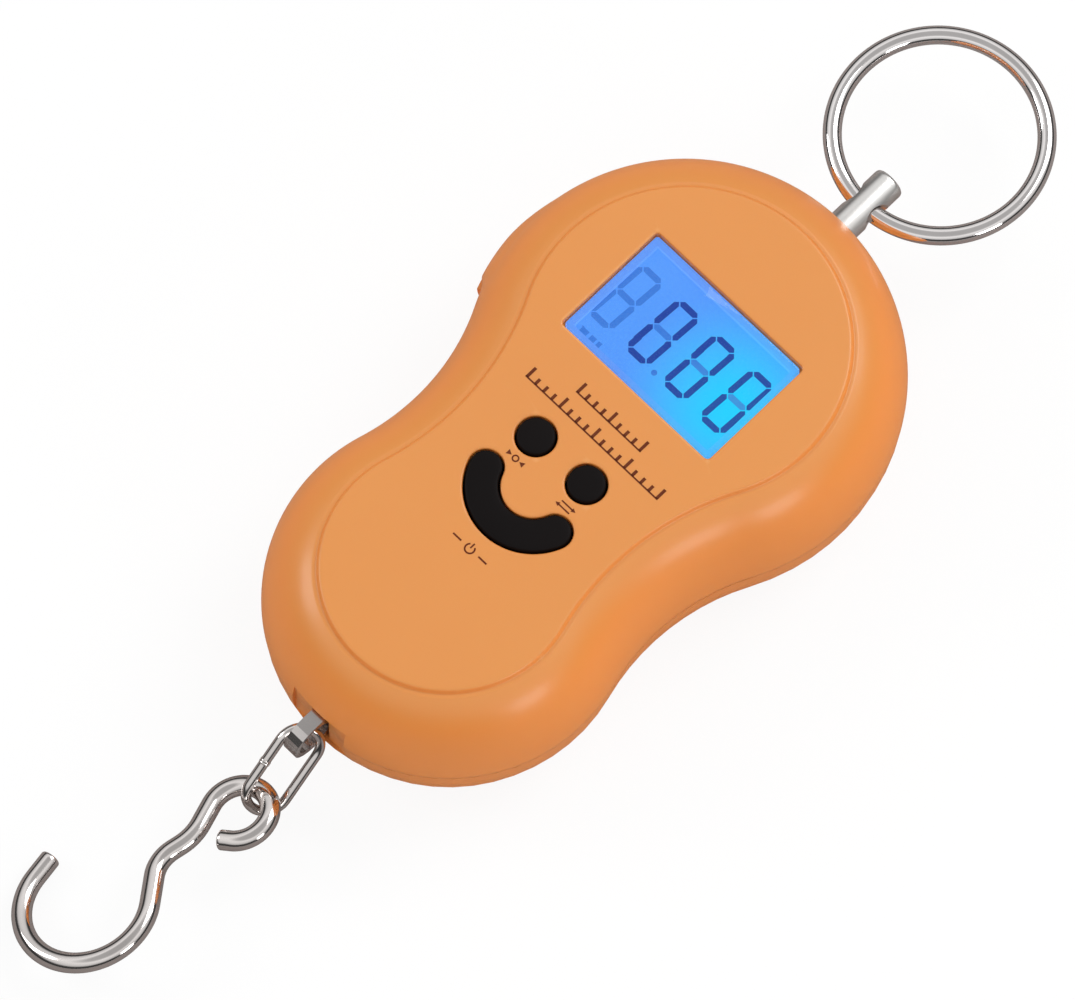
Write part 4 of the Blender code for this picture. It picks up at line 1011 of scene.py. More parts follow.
def carve(piece: Piece, cutters: Sequence[MeshMaker], sharp_degrees: float) -> None:
    """Cuts shapes out of a piece for good, one after another.

    Args:
        piece: The piece.
        cutters: The shapes.
        sharp_degrees: The angle from which an edge stays sharp.
    """
    for cutter in cutters:
        tool = cutter.finish("carving_tool")
        modifier = piece.modifiers.new("carve", "BOOLEAN")
        modifier.operation = "DIFFERENCE"
        modifier.solver = "EXACT"
        modifier.object = tool
        settle(piece)
        bpy.data.objects.remove(tool)
    piece.data.set_sharp_from_angle(angle=math.radians(sharp_degrees))


def turned_cutter(radius: float, start: Vector, end: Vector, sides: int = 40) -> MeshMaker:
    """Makes a round bar to carve with.

    Args:
        radius: Its radius.
        start: One end of its axis.
        end: The other end.
        sides: How many sides it has.

    Returns:
        The bar.
    """
    maker = MeshMaker()
    maker.turn([(radius, 0.0), (radius, (end - start).length)], start, end - start, sides)
    return maker


def block_cutter(low: Sequence[float], high: Sequence[float]) -> MeshMaker:
    """Makes a block to carve with.

    Args:
        low: Its lowest corner.
        high: Its highest corner.

    Returns:
        The block.
    """
    maker = MeshMaker()
    maker.block(low, high)
    return maker


def settle(piece: Piece) -> None:
    """Writes a piece's modifiers into its mesh.

    Args:
        piece: The piece.
    """
    graph = bpy.context.evaluated_depsgraph_get()
    mesh = bpy.data.meshes.new_from_object(piece.evaluated_get(graph))
    piece.modifiers.clear()
    old = piece.data
    piece.data = mesh
    bpy.data.meshes.remove(old)
    mesh.name = piece.name


def dress(
    piece: Piece, material: Material, body: Body,
    nodes: Sequence[str] = (),
) -> Piece:
    """Gives a piece its material, its body and the nodes it stands for.

    Args:
        piece: The piece.
        material: Its material.
        body: The body it rides on.
        nodes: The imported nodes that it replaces.

    Returns:
        The piece.
    """
    piece.data.materials.clear()
    piece.data.materials.append(material)
    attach(piece, body.value)
    if nodes:
        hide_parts(*nodes)
    LOG.info("%s: %d faces, rides on %s", piece.name, len(piece.data.polygons), body.value)
    return piece


def repaint(node: str, material: Material) -> None:
    """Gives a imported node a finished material.

    Args:
        node: The node's name.
        material: Its material.
    """
    piece = frame["nodes"][node]
    if not piece.material_slots:
        piece.data.materials.append(material)
    for place in piece.material_slots:
        place.material = material
    LOG.info("%s: repainted", node)


# ---- The case ------------------------------------------------------------------------------------


@dataclass(frozen=True)
class CaseOutline:
    """The gourd-shaped outline: two round lobes joined by a concave waist."""

    lower_y: float = 0.0125
    spacing: float = 0.0447
    upper_radius: float = 0.0298
    lower_radius: float = 0.0250
    waist_radius: float = 0.0333
    pad_from: float = math.radians(171)
    pad_to: float = math.radians(201)
    pad_fade: float = 0.6

    @property
    def upper_y(self) -> float:
        """The height of the upper lobe's centre."""
        return self.lower_y + self.spacing

    def waist(self) -> Vector:
        """The centre of the right waist arc."""
        upper = self.upper_radius + self.waist_radius
        lower = self.lower_radius + self.waist_radius
        along = (self.spacing**2 + lower**2 - upper**2) / (2 * self.spacing)
        return Vector((math.sqrt(lower**2 - along**2), self.lower_y + along))

    def ring(self, inset: float, swell: float = 0.0) -> list[Point2]:
        """The outline moved inwards.

        Args:
            inset: How far.
            swell: How far the edge pad stands out at this height.

        Returns:
            The anticlockwise points, from the middle of the lower end.
        """
        waist = self.waist()
        to_upper = math.atan2(waist.y - self.upper_y, waist.x)
        to_lower = math.atan2(waist.y - self.lower_y, waist.x)
        quarter = math.pi / 2
        right = arc((0.0, self.lower_y), self.lower_radius - inset, -quarter, to_lower, 40)[:-1]
        start, end = math.pi + to_lower, math.pi + to_upper
        right += arc(tuple(waist), self.waist_radius + inset, start, end, 26)[:-1]
        right += arc((0.0, self.upper_y), self.upper_radius - inset, to_upper, quarter, 52)
        left = [(-x, y) for x, y in reversed(right[1:-1])]
        if swell > 0:
            left = [self.swollen(point, swell) for point in left]
        return right + left

    def swollen(self, point: Point2, swell: float) -> Point2:
        """Moves a point of the left side outwards where the edge pad is.

        Args:
            point: The point.
            swell: How far the pad stands out.

        Returns:
            The moved point.
        """
        out = Vector((point[0], point[1] - self.upper_y))
        angle = math.atan2(out.y, out.x) % (2 * math.pi)
        along = (angle - self.pad_from) / (self.pad_to - self.pad_from)
        fade = math.sin(min(1.0, max(0.0, along) / self.pad_fade) * math.pi / 2)
        fade *= min(1.0, max(0.0, (1.0 - along) / 0.06))
        out += out.normalized() * swell * fade
        return (out.x, out.y + self.upper_y)


class Opening:
    """An opening in the case's face."""

    def loop(self, growth: float) -> list[Point2]:
        """The opening's outline.

        Args:
            growth: How far to move it outwards.

        Returns:
            The anticlockwise points.
        """
        raise NotImplementedError


@dataclass(frozen=True)
class RoundOpening(Opening):
    """A round opening."""

    centre: Point2
    radius: float

    def loop(self, growth: float) -> list[Point2]:
        """The circle, moved outwards by growth."""
        return arc(self.centre, self.radius + growth, 0.0, 2 * math.pi, 48)[:-1]


@dataclass(frozen=True)
class WindowOpening(Opening):
    """A rectangular opening with rounded corners."""

    low: Point2
    high: Point2
    corner: float = 0.0006

    def loop(self, growth: float) -> list[Point2]:
        """The rounded rectangle.

        Args:
            growth: How far to move it outwards.

        Returns:
            The anticlockwise points.
        """
        radius = self.corner
        reach = max(radius + growth, 0.00005)
        corners = (
            ((self.high[0] - radius, self.low[1] + radius), -math.pi / 2),
            ((self.high[0] - radius, self.high[1] - radius), 0.0),
            ((self.low[0] + radius, self.high[1] - radius), math.pi / 2),
            ((self.low[0] + radius, self.low[1] + radius), math.pi),
        )
        shift = growth + radius - reach
        points = []
        for (x, y), start in corners:
            side_x = 1 if x > (self.low[0] + self.high[0]) / 2 else -1
            side_y = 1 if y > (self.low[1] + self.high[1]) / 2 else -1
            centre = (x + side_x * shift, y + side_y * shift)
            points += arc(centre, reach, start, start + math.pi / 2, 6)
        return points


@dataclass(frozen=True)
class SmileOpening(Opening):
    """A smile-shaped band with round ends."""

    centre: Point2
    radius: float = SMILE_RADIUS
    band: float = SMILE_BAND
    half_angle: float = math.radians(69)

    def tip(self, angle: float) -> Point2:
        """The point on the band's middle line at an angle."""
        x, y = self.centre
        return (x + self.radius * math.cos(angle), y + self.radius * math.sin(angle))

    def loop(self, growth: float) -> list[Point2]:
        """The band's outline.

        Args:
            growth: How far to move it outwards.

        Returns:
            The anticlockwise points.
        """
        half = self.band / 2 + growth
        down = -math.pi / 2
        start, end = down - self.half_angle, down + self.half_angle
        points = arc(self.centre, self.radius + half, start, end, 40)
        points += arc(self.tip(end), half, end, end + math.pi, 16)[1:]
        points += arc(self.centre, self.radius - half, end, start, 28)[1:]
        points += arc(self.tip(start), half, start + math.pi, start + 2 * math.pi, 16)[1:-1]
        return points


def smile_centre() -> Point2:
    """The centre of the smile's arc, straight above its plunger."""
    x, y = plan_middle("power_plunger")
    return (x, y + SMILE_RADIUS)


@dataclass
class FrontCover:
    """The front cover: a rolled rim round a slightly raised face with its openings."""

    outline: CaseOutline
    rim_width: float = 0.0073
    rim_turn: float = math.radians(75)
    face_rise: float = 0.0006
    wall: float = 0.0022
    pad_rise: float = 0.0008
    pad_turn: float = math.radians(32)
    lip_inset: float = 0.0010
    gap: float = 0.0003
    notch_width: float = 0.0096
    notch_depth: float = 0.0010
    notch_height: float = 0.0090
    seam_gap: float = 0.00006
    rim_steps: int = 26
    inner_steps: int = 8
    tongue_height: float = 0.0018
    window_ledge: float = 0.0010
    way_radius: float = 0.00265
    way_reach: float = 0.0045
    slot_half_width: float = 0.00155
    slot_half_height: float = 0.0042
    slot_depth: float = 0.0066
    overcut: float = 0.003
    sharp_degrees: float = 38.0
    seam_edge: tuple[Row, ...] = ((0.00010, 0.0), (0.00003, 0.00004))
    rim_end: Row = (0.00025, 0.00008)
    face_step: tuple[Row, ...] = (
        (0.00005, 0.00072), (0.00018, 0.00070), (0.00030, 0.00058), (0.00042, 0.00034),
        (0.00054, 0.00012), (0.00070, 0.00002), (0.00090, 0.0), (0.00130, 0.0),
    )
    opening_edge: tuple[Row, ...] = (
        (0.0009, 0.0), (0.00055, 0.0), (0.00028, 0.0), (0.00013, 0.00004), (0.00003, 0.00014),
        (0.0, 0.00030),
    )

    def __post_init__(self) -> None:
        """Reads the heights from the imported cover."""
        low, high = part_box("front_cover")
        self.edge_z = low.z - self.gap + self.seam_gap
        self.seam_z = low.z - self.gap / 2
        self.face_z = high.z
        self.ceiling_z = high.z - self.wall

    def openings(self) -> dict[str, Opening]:
        """The openings in the face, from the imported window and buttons."""
        low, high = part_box("display_window")
        gap = self.gap
        window = WindowOpening((low.x - gap, low.y - gap), (high.x + gap, high.y + gap))
        made: dict[str, Opening] = {"window": window}
        for name in ("tare", "unit"):
            made[name] = RoundOpening(plan_middle(f"{name}_plunger"), ROUND_BUTTON_RADIUS + self.gap)
        made["power"] = SmileOpening(smile_centre(), band=SMILE_BAND + 2 * self.gap)
        return made

    def rim_rows(self) -> list[tuple[float, float, float]]:
        """(inset, height, pad swell) rows of the outer skin, from the seam to the face."""
        reach = self.rim_width / (1 - math.cos(self.rim_turn))
        rise = (self.face_z - self.face_rise - self.seam_z) / math.sin(self.rim_turn)
        rows = [(inset, self.edge_z + up, self.pad_rise) for inset, up in self.seam_edge]
        for step in range(self.rim_steps + 1):
            turn = self.rim_turn * step / self.rim_steps
            share = min(1.0, turn / self.pad_turn)
            swell = self.pad_rise * math.cos(share * math.pi / 2)
            rows.append((reach * (1 - math.cos(turn)), self.seam_z + rise * math.sin(turn), swell))
        top = self.face_z
        rows[-1] = (self.rim_width - self.rim_end[0], top - self.face_rise - self.rim_end[1], 0.0)
        for inset, drop in self.face_step:
            rows.append((self.rim_width + inset, top - drop, 0.0))
        return rows

    def build(self, finishes: Finishes) -> Piece:
        """Builds the cover.

        Args:
            finishes: The finishes.

        Returns:
            The cover.
        """
        maker = MeshMaker()
        rows = self.rim_rows()
        outer = [maker.ring(self.outline.ring(inset, swell), z) for inset, z, swell in rows]
        maker.stack(outer)
        inner = self.add_inside(maker, outer[0])
        face_loops, ceiling_loops = [outer[-1]], [inner]
        for name, opening in self.openings().items():
            top, bottom = self.add_opening(maker, name, opening)
            face_loops.append(top)
            ceiling_loops.append(bottom)
        maker.fill(face_loops)
        maker.fill(ceiling_loops)
        cover = maker.finish("front_cover_shell", self.sharp_degrees)
        carve(cover, self.end_cutters(), self.sharp_degrees)
        return dress(cover, finishes.orange, Body.CASE, ["front_cover"])

    def add_inside(self, maker: MeshMaker, edge: Ring) -> Ring:
        """Adds the lip and the inner skin.

        Args:
            maker: The mesh.
            edge: The outer skin's lowest ring.

        Returns:
            The ring where the inner skin meets the ceiling.
        """
        base = self.seam_z + self.tongue_height + 2 * self.gap
        rings = [edge]
        rings += [maker.ring(self.outline.ring(self.lip_inset), z) for z in (self.edge_z, base)]
        width = self.rim_width - self.wall / 2
        reach = width / (1 - math.cos(self.rim_turn))
        rise = (self.ceiling_z - base) / math.sin(self.rim_turn)
        for step in range(self.inner_steps + 1):
            turn = self.rim_turn * step / self.inner_steps
            inset = self.wall + reach * (1 - math.cos(turn))
            rings.append(maker.ring(self.outline.ring(inset), base + rise * math.sin(turn)))
        maker.stack(rings)
        return rings[-1]

    def add_opening(
        self, maker: MeshMaker, name: str, opening: Opening
    ) -> tuple[Ring, Ring]:
        """Adds the rolled edge and the walls of one opening.

        Args:
            maker: The mesh.
            name: The opening's name.
            opening: The opening.

        Returns:
            Its ring in the face and its ring in the ceiling.
        """
        top = self.face_z
        rows = list(self.opening_edge)
        growth = 0.0
        if name == "window":
            low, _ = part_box("display_window")
            seat = top - low.z + self.gap
            growth = -self.window_ledge
            rows += [(0.0, seat), (growth, seat)]
        rows.append((growth, top - self.ceiling_z))
        rings = [maker.ring(opening.loop(grow), top - drop) for grow, drop in rows]
        maker.stack(rings)
        return rings[0], rings[-1]

    def end_cutters(self) -> list[MeshMaker]:
        """The shapes that cut the rod's way, the tab's slot and the notch out of the ends."""
        bottom = self.outline.lower_y - self.outline.lower_radius
        top = self.outline.upper_y + self.outline.upper_radius
        z = self.seam_z
        half = self.notch_width / 2
        inner = Vector((0.0, top - self.way_reach, z))
        way = turned_cutter(self.way_radius, inner, Vector((0.0, top + self.way_reach, z)))
        slot = block_cutter(
            (-self.slot_half_width, bottom - self.overcut, z - self.slot_half_height),
            (self.slot_half_width, bottom + self.slot_depth, z + self.slot_half_height),
        )
        notch = block_cutter(
            (-half, bottom - self.overcut, z - self.notch_height / 2),
            (half, bottom + self.notch_depth, z + self.notch_height / 2),
        )
        return [way, slot, notch]


# ---- Buttons, window and display -----------------------------------------------------------------


@dataclass
class Buttons:
    """Two round buttons and the smile, each slightly domed."""

    flange: float = 0.0005
    flange_reach: float = 0.0008
    flange_nip: float = 0.00003
    flange_taper: float = 0.00078
    dome: tuple[Row, ...] = (
        (0.0, 0.00030), (-0.00004, 0.00018), (-0.00014, 0.00009), (-0.00035, 0.00005),
        (-0.0008, 0.00002), (-0.0013, 0.0),
    )

    def build(self, finishes: Finishes) -> None:
        """Builds the three buttons.

        Args:
            finishes: The finishes.
        """
        for name, body in (("tare", Body.TARE), ("unit", Body.UNIT)):
            shape = RoundOpening(plan_middle(f"{name}_button"), ROUND_BUTTON_RADIUS)
            self.button(name, shape, body, finishes)
        self.button("power", SmileOpening(smile_centre()), Body.POWER, finishes)

    def button(self, name: str, shape: Opening, body: Body, finishes: Finishes) -> None:
        """Builds one button.

        Args:
            name: The button's name.
            shape: Its outline.
            body: The body it rides on.
            finishes: The finishes.
        """
        low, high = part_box(f"{name}_button")
        maker = MeshMaker()
        depth = high.z - low.z
        rows = [
            (self.flange_taper, 0.0), (self.flange_reach, self.flange_nip),
            (self.flange_reach, self.flange - self.flange_nip), (self.flange_taper, self.flange),
            (0.0, self.flange),
        ]
        rows += [(growth, depth - drop) for growth, drop in self.dome]
        rings = [maker.ring(shape.loop(grow), low.z + rise) for grow, rise in rows]
        maker.stack(rings)
        maker.cap(rings[0])
        maker.fill([rings[-1]])
        piece = maker.finish(f"{name}_button_cap", 50.0)
        dress(piece, finishes.rubber, body, [f"{name}_button"])
        repaint(f"{name}_plunger", finishes.small["plunger"])
        repaint(f"{name}_switch", finishes.small["switch_body"])


class Segment(Enum):
    """The seven segments of a digit, each as its middle in a unit cell and if it runs across."""

    TOP = (0.5, 1.0, True)
    UPPER_RIGHT = (1.0, 0.75, False)
    LOWER_RIGHT = (1.0, 0.25, False)
    BOTTOM = (0.5, 0.0, True)
    LOWER_LEFT = (0.0, 0.25, False)
    UPPER_LEFT = (0.0, 0.75, False)
    MIDDLE = (0.5, 0.5, True)


@dataclass
class Display:
    """The window, the liquid-crystal panel and the digits it shows."""

    groups: Groups
    digit_width: float = 0.0034
    digit_height: float = 0.0093
    digit_pitch: float = 0.00687
    digit_low: float = -0.0046
    first_digit: float = -0.01075
    stroke: float = 0.00088
    slant: float = 0.045
    ink_height: float = 0.00003
    ink_gap: float = 0.00004
    ink_reach: float = 0.012
    ledge: float = 0.0018
    lamp_x: float = 0.0105
    lamp_drop: float = 0.0012
    lamp_reach: float = 0.017
    lamp_strength: float = 0.95
    marks_drop: float = 0.0078
    marks_height: float = 0.0011
    marks: tuple[Row, ...] = ((-0.0118, 0.0012), (-0.0101, 0.0009), (-0.0088, 0.0006))
    point_x: float = -0.00055
    point_drop: float = 0.0001
    point_radius: float = 0.00042

    def __post_init__(self) -> None:
        """Reads where the panel lies."""
        low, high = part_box("lcd_glass")
        self.low, self.high = low, high
        self.middle = (low + high) / 2
        self.lamp = (self.lamp_x, self.middle.y - self.lamp_drop, high.z)

    def build(self, finishes: Finishes) -> None:
        """Builds every piece of the display.

        Args:
            finishes: The finishes.
        """
        self.window(finishes)
        self.painted_glow_frame()
        self.panel()
        zero = set(Segment) - {Segment.MIDDLE}
        lit = MeshMaker()
        for place in (1, 2, 3):
            self.digit(lit, place, zero)
        self.finish_ink(lit, "lit_segments", (0.010, 0.060, 0.40), 0.8)
        dim = MeshMaker()
        self.digit(dim, 0, set(Segment))
        for place in (1, 2, 3):
            self.digit(dim, place, {Segment.MIDDLE})
        self.unit_marks(dim)
        self.finish_ink(dim, "dim_segments", (0.040, 0.20, 0.72), 0.9)
        repaint("backlight_panel", finishes.small["light_guide"])
        repaint("zebra_strip", finishes.small["zebra_rubber"])

    def window(self, finishes: Finishes) -> None:
        """Builds the clear window.

        Args:
            finishes: The finishes.
        """
        low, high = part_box("display_window")
        shape = WindowOpening((low.x, low.y), (high.x, high.y), 0.0004)
        rows = [
            (-0.00010, low.z), (0.0, low.z + 0.00010), (0.0, high.z - 0.00018),
            (-0.00006, high.z - 0.00006), (-0.00018, high.z),
        ]
        maker = MeshMaker()
        rings = [maker.ring(shape.loop(grow), z) for grow, z in rows]
        maker.stack(rings)
        maker.cap(rings[0])
        maker.cap(rings[-1])
        piece = maker.finish("display_window_pane", 30.0)
        dress(piece, finishes.window, Body.CASE, ["display_window"])

    def glow(self, name: str, far: Colour, near: Colour) -> Material:
        """Makes a backlit finish.

        Args:
            name: Its name.
            far: The colour away from the lamp.
            near: The colour beside the lamp.

        Returns:
            The material.
        """
        finish = GlowFinish(name, far, near, self.lamp, self.lamp_reach, self.lamp_strength)
        return finish.make(self.groups)

    def painted_glow_frame(self) -> None:
        """Builds a frame under the window's edge that glows in the backlight's colours: painted light
        over the recess walls' shade.
        """
        low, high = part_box("display_window")
        shape = WindowOpening((low.x, low.y), (high.x, high.y))
        foot = self.high.z + 0.00005
        rows = (
            (0.0001, low.z - 0.00022), (0.0001, low.z - 0.00006), (-0.00095, low.z - 0.00006),
            (-0.00095, foot), (-0.00075, foot), (-0.00075, low.z - 0.00022),
        )
        maker = MeshMaker()
        rings = [maker.ring(shape.loop(grow), z) for grow, z in rows]
        maker.stack([*rings, rings[0]])
        # The frame is no lamp; its glow is painted light that hides the shade in the window's recess.
        glow = self.glow("window_edge_painted_glow", (0.115, 0.315, 0.93), (0.03, 0.58, 0.97))
        dress(maker.finish("painted_glow_frame", 30.0), glow, Body.CASE)

    def panel(self) -> None:
        """Builds the panel: a lower glass with its contact ledge, and an upper glass on it."""
        maker = MeshMaker()
        low, high = self.low, self.high
        half = (low.z + high.z) / 2
        maker.block(low, (high.x, high.y, half), 0.00008)
        maker.block((low.x, low.y + self.ledge, half - 0.00002), high, 0.00008)
        glow = self.glow("display_glow", (0.085, 0.320, 0.95), (0.004, 0.62, 0.98))
        piece = maker.finish("lcd_panel", 30.0)
        dress(piece, glow, Body.CASE, ["lcd_glass"])

    def digit(self, maker: MeshMaker, place: int, segments: set[Segment]) -> None:
        """Adds segments of one digit.

        Args:
            maker: The mesh.
            place: The digit's place, from the left.
            segments: The segments to add.
        """
        left = self.first_digit + place * self.digit_pitch - self.digit_width / 2
        low = self.middle.y + self.digit_low
        for segment in Segment:
            if segment in segments:
                across, up, lies = segment.value
                length = self.digit_width if lies else self.digit_height / 2
                centre = (across * self.digit_width, up * self.digit_height)
                self.segment(maker, left, low, centre, length, lies)

    def segment(
        self, maker: MeshMaker, left: float, low: float, centre: Point2, length: float, lies: bool
    ) -> None:
        """Adds one six-sided segment.

        Args:
            maker: The mesh.
            left: The digit's left edge.
            low: The digit's lower edge.
            centre: The segment's middle, from the digit's corner.
            length: Its length between its points.
            lies: Whether it runs across.
        """
        half, thin = length / 2 - 0.00012, self.stroke / 2
        shape = [
            (-half, 0), (-half + thin, -thin), (half - thin, -thin),
            (half, 0), (half - thin, thin), (-half + thin, thin),
        ]
        if not lies:
            shape = [(-y, x) for x, y in shape]
        points = []
        for x, y in shape:
            rise = centre[1] + y
            points.append((left + centre[0] + x + rise * self.slant, low + rise))
        z = self.high.z + self.ink_gap
        maker.slab(points, z, z + self.ink_height)

    def unit_marks(self, maker: MeshMaker) -> None:
        """Adds faint blocks where a display shows its units, and the decimal point.

        Args:
            maker: The mesh.
        """
        z = self.high.z + self.ink_gap
        base = self.middle.y - self.marks_drop
        top = base + self.marks_height
        for x, width in self.marks:
            box = [(x, base), (x + width, base), (x + width, top), (x, top)]
            maker.slab(box, z, z + self.ink_height)
        centre = (self.point_x, self.middle.y + self.digit_low - self.point_drop)
        dot = arc(centre, self.point_radius, 0.0, 2 * math.pi, 16)[:-1]
        maker.slab(dot, z, z + self.ink_height)

    def finish_ink(self, maker: MeshMaker, name: str, colour: Colour, strength: float) -> None:
        """Gives segments their colour.

        Args:
            maker: The mesh.
            name: The piece's name.
            colour: The colour that they let through.
            strength: How brightly.
        """
        near = (colour[0], min(1.0, colour[1] * 1.5), colour[2])
        glow = GlowFinish(f"{name}_glow", colour, near, self.lamp, self.ink_reach, strength)
        dress(maker.finish(name, 20.0), glow.make(self.groups), Body.CASE)


# ---- Printed marks -------------------------------------------------------------------------------


@dataclass
class PrintedMarks:
    """Plain printed marks on the face: two rows of ticks, a zero, a swap and a power sign."""

    thickness: float = 0.00003
    title_rows: tuple[tuple[float, float, int], ...] = (
        (0.04262, 0.0116, 9),
        (0.03945, 0.0242, 17),
    )
    ticks_x: float = 0.0006
    tick_half: float = 0.00022
    tick_foot: float = 0.00075
    base_foot: float = 0.00088
    long_tick: float = 0.00085
    short_tick: float = 0.00048

    def __post_init__(self) -> None:
        """Reads the height of the face."""
        _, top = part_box("front_cover")
        self.z = top.z + 0.00001

    def build(self, finishes: Finishes) -> None:
        """Builds the marks as one piece.

        Args:
            finishes: The finishes.
        """
        maker = MeshMaker()
        for y, width, count in self.title_rows:
            self.ticks(maker, (self.ticks_x, y), width, count)
        self.zero_sign(maker, (-0.00445, 0.02950))
        self.swap_sign(maker, (0.00505, 0.02935))
        self.power_sign(maker, (0.0002, 0.01632))
        dress(maker.finish("face_marks", 30.0), finishes.print, Body.CASE)

    def bar(self, maker: MeshMaker, low: Point2, high: Point2) -> None:
        """Adds a printed bar.

        Args:
            maker: The mesh.
            low: One corner.
            high: The corner across from it.
        """
        shape = [low, (high[0], low[1]), high, (low[0], high[1])]
        maker.slab(shape, self.z, self.z + self.thickness)

    def band(
        self, maker: MeshMaker, centre: Point2, radius: float, width: float, start: float, end: float
    ) -> None:
        """Adds a printed arc.

        Args:
            maker: The mesh.
            centre: The arc's centre.
            radius: The radius of its middle line.
            width: Its width.
            start: Its first angle in radians.
            end: Its last angle in radians.
        """
        outer = arc(centre, radius + width / 2, start, end, 28)
        inner = arc(centre, radius - width / 2, end, start, 28)
        maker.slab(outer + inner, self.z, self.z + self.thickness)

    def ticks(self, maker: MeshMaker, centre: Point2, width: float, count: int) -> None:
        """Adds a row of ruler ticks, with each fourth one long.

        Args:
            maker: The mesh.
            centre: The row's middle.
            width: Its width.
            count: How many ticks it has.
        """
        for index in range(count):
            x = centre[0] - width / 2 + width * index / (count - 1)
            tall = self.long_tick if index % 4 == 0 else self.short_tick
            foot = centre[1] - self.tick_foot
            self.bar(maker, (x - self.tick_half, foot), (x + self.tick_half, foot + 2 * tall))
        left = centre[0] - width / 2 - self.tick_half
        right = centre[0] + width / 2 + self.tick_half
        base = centre[1] - self.base_foot
        self.bar(maker, (left, base), (right, base + self.tick_half))

    def zero_sign(self, maker: MeshMaker, centre: Point2) -> None:
        """Adds an arrowhead on each side of a small ring, for setting to zero.

        Args:
            maker: The mesh.
            centre: The sign's middle.
        """
        self.band(maker, centre, 0.00042, 0.0002, 0.0, 2 * math.pi - 0.001)
        for side in (-1, 1):
            tip = (centre[0] + side * 0.00075, centre[1])
            back = tip[0] + side * 0.0007
            shape = [tip, (back, centre[1] - 0.0004), (back, centre[1] + 0.0004)]
            if side < 0:
                shape.reverse()
            maker.slab(shape, self.z, self.z + self.thickness)

    def swap_sign(self, maker: MeshMaker, centre: Point2) -> None:
        """Adds two opposite arrows, for changing the unit.

        Args:
            maker: The mesh.
            centre: The sign's middle.
        """
        for side in (-1, 1):
            y = centre[1] + side * 0.00034
            self.bar(maker, (centre[0] - 0.0010, y - 0.0001), (centre[0] + 0.0010, y + 0.0001))
            tip = (centre[0] + side * 0.0015, y)
            back = tip[0] - side * 0.0006
            shape = [tip, (back, y + side * 0.00032), (back, y - side * 0.00032)]
            maker.slab(shape, self.z, self.z + self.thickness)

    def power_sign(self, maker: MeshMaker, centre: Point2) -> None:
        """Adds a broken ring with a bar, between two short bars.

        Args:
            maker: The mesh.
            centre: The sign's middle.
        """
        gap = math.radians(38)
        start, end = math.pi / 2 + gap, math.pi / 2 + 2 * math.pi - gap
        self.band(maker, centre, 0.00068, 0.00022, start, end)
        low = (centre[0] - 0.00011, centre[1] + 0.0001)
        self.bar(maker, low, (centre[0] + 0.00011, centre[1] + 0.00092))
        for side in (-1, 1):
            near, far = sorted((centre[0] + side * 0.0016, centre[0] + side * 0.0031))
            self.bar(maker, (near, centre[1] - 0.00012), (far, centre[1] + 0.00012))


# ---- Metal pieces --------------------------------------------------------------------------------


@dataclass
class SuspensionRod:
    """The rod at the top: a clevis inside and a drilled shank outside."""

    radius: float = 0.00235
    head_radius: float = 0.0040
    hole_radius: float = 0.00175
    hole_drop: float = 0.0051
    head_top: float = 0.0839
    fork_half: float = 0.0014
    fork_bridge: float = 0.0022
    pin_hole: float = 0.0013
    flare: float = 0.0006
    flare_depth: float = 0.0010
    head_foot: tuple[Row, ...] = ((0.0034, 0.0), (0.0038, 0.00012))
    head_end: tuple[Row, ...] = ((0.0038, 0.00008), (0.0036, 0.0))
    tip: tuple[Row, ...] = (
        (1.0, 0.00075), (0.985, 0.00048), (0.94, 0.00025), (0.85, 0.00010), (0.7, 0.00003),
        (0.3, 0.0),
    )

    def build(self, finishes: Finishes) -> None:
        """Builds the rod.

        Args:
            finishes: The finishes.
        """
        low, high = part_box("suspension_rod")
        z = (low.z + high.z) / 2
        length = high.y - low.y
        shoulder = self.head_top - low.y
        profile = [
            *self.head_foot, (self.head_radius, 0.0005), (self.head_radius, shoulder - 0.0003),
            *((radius, shoulder - drop) for radius, drop in self.head_end),
            (self.radius + 0.0001, shoulder), (self.radius, shoulder + 0.0001),
            *((self.radius * share, length - drop) for share, drop in self.tip),
        ]
        maker = MeshMaker()
        maker.turn(profile, Vector((0.0, low.y, z)), Vector((0.0, 1.0, 0.0)), 64)
        rod = maker.finish("suspension_rod_turned", 30.0)
        hole_y = high.y - self.hole_drop
        reach = Vector((0.006, 0.0, 0.0))
        hole = Vector((0.0, hole_y, z))
        tools = [turned_cutter(self.hole_radius, hole - reach, hole + reach)]
        for side in (-1, 1):
            mouth = MeshMaker()
            flare = [(self.hole_radius + self.flare, 0.0), (self.hole_radius, self.flare_depth)]
            start = Vector((side * (self.radius + 0.0002), hole_y, z))
            mouth.turn(flare, start, Vector((-side, 0.0, 0.0)), 40)
            tools.append(mouth)
        tools.append(block_cutter(
            (-self.fork_half, low.y - 0.001, z - 0.006),
            (self.fork_half, self.head_top - self.fork_bridge, z + 0.006),
        ))
        pin_low, pin_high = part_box("clevis_pin")
        pin = Vector((0.0, (pin_low.y + pin_high.y) / 2, z))
        tools.append(turned_cutter(self.pin_hole, pin - reach, pin + reach, 32))
        carve(rod, tools, 30.0)
        dress(rod, finishes.rod, Body.CASE, ["suspension_rod"])
        repaint("clevis_pin", finishes.rod)


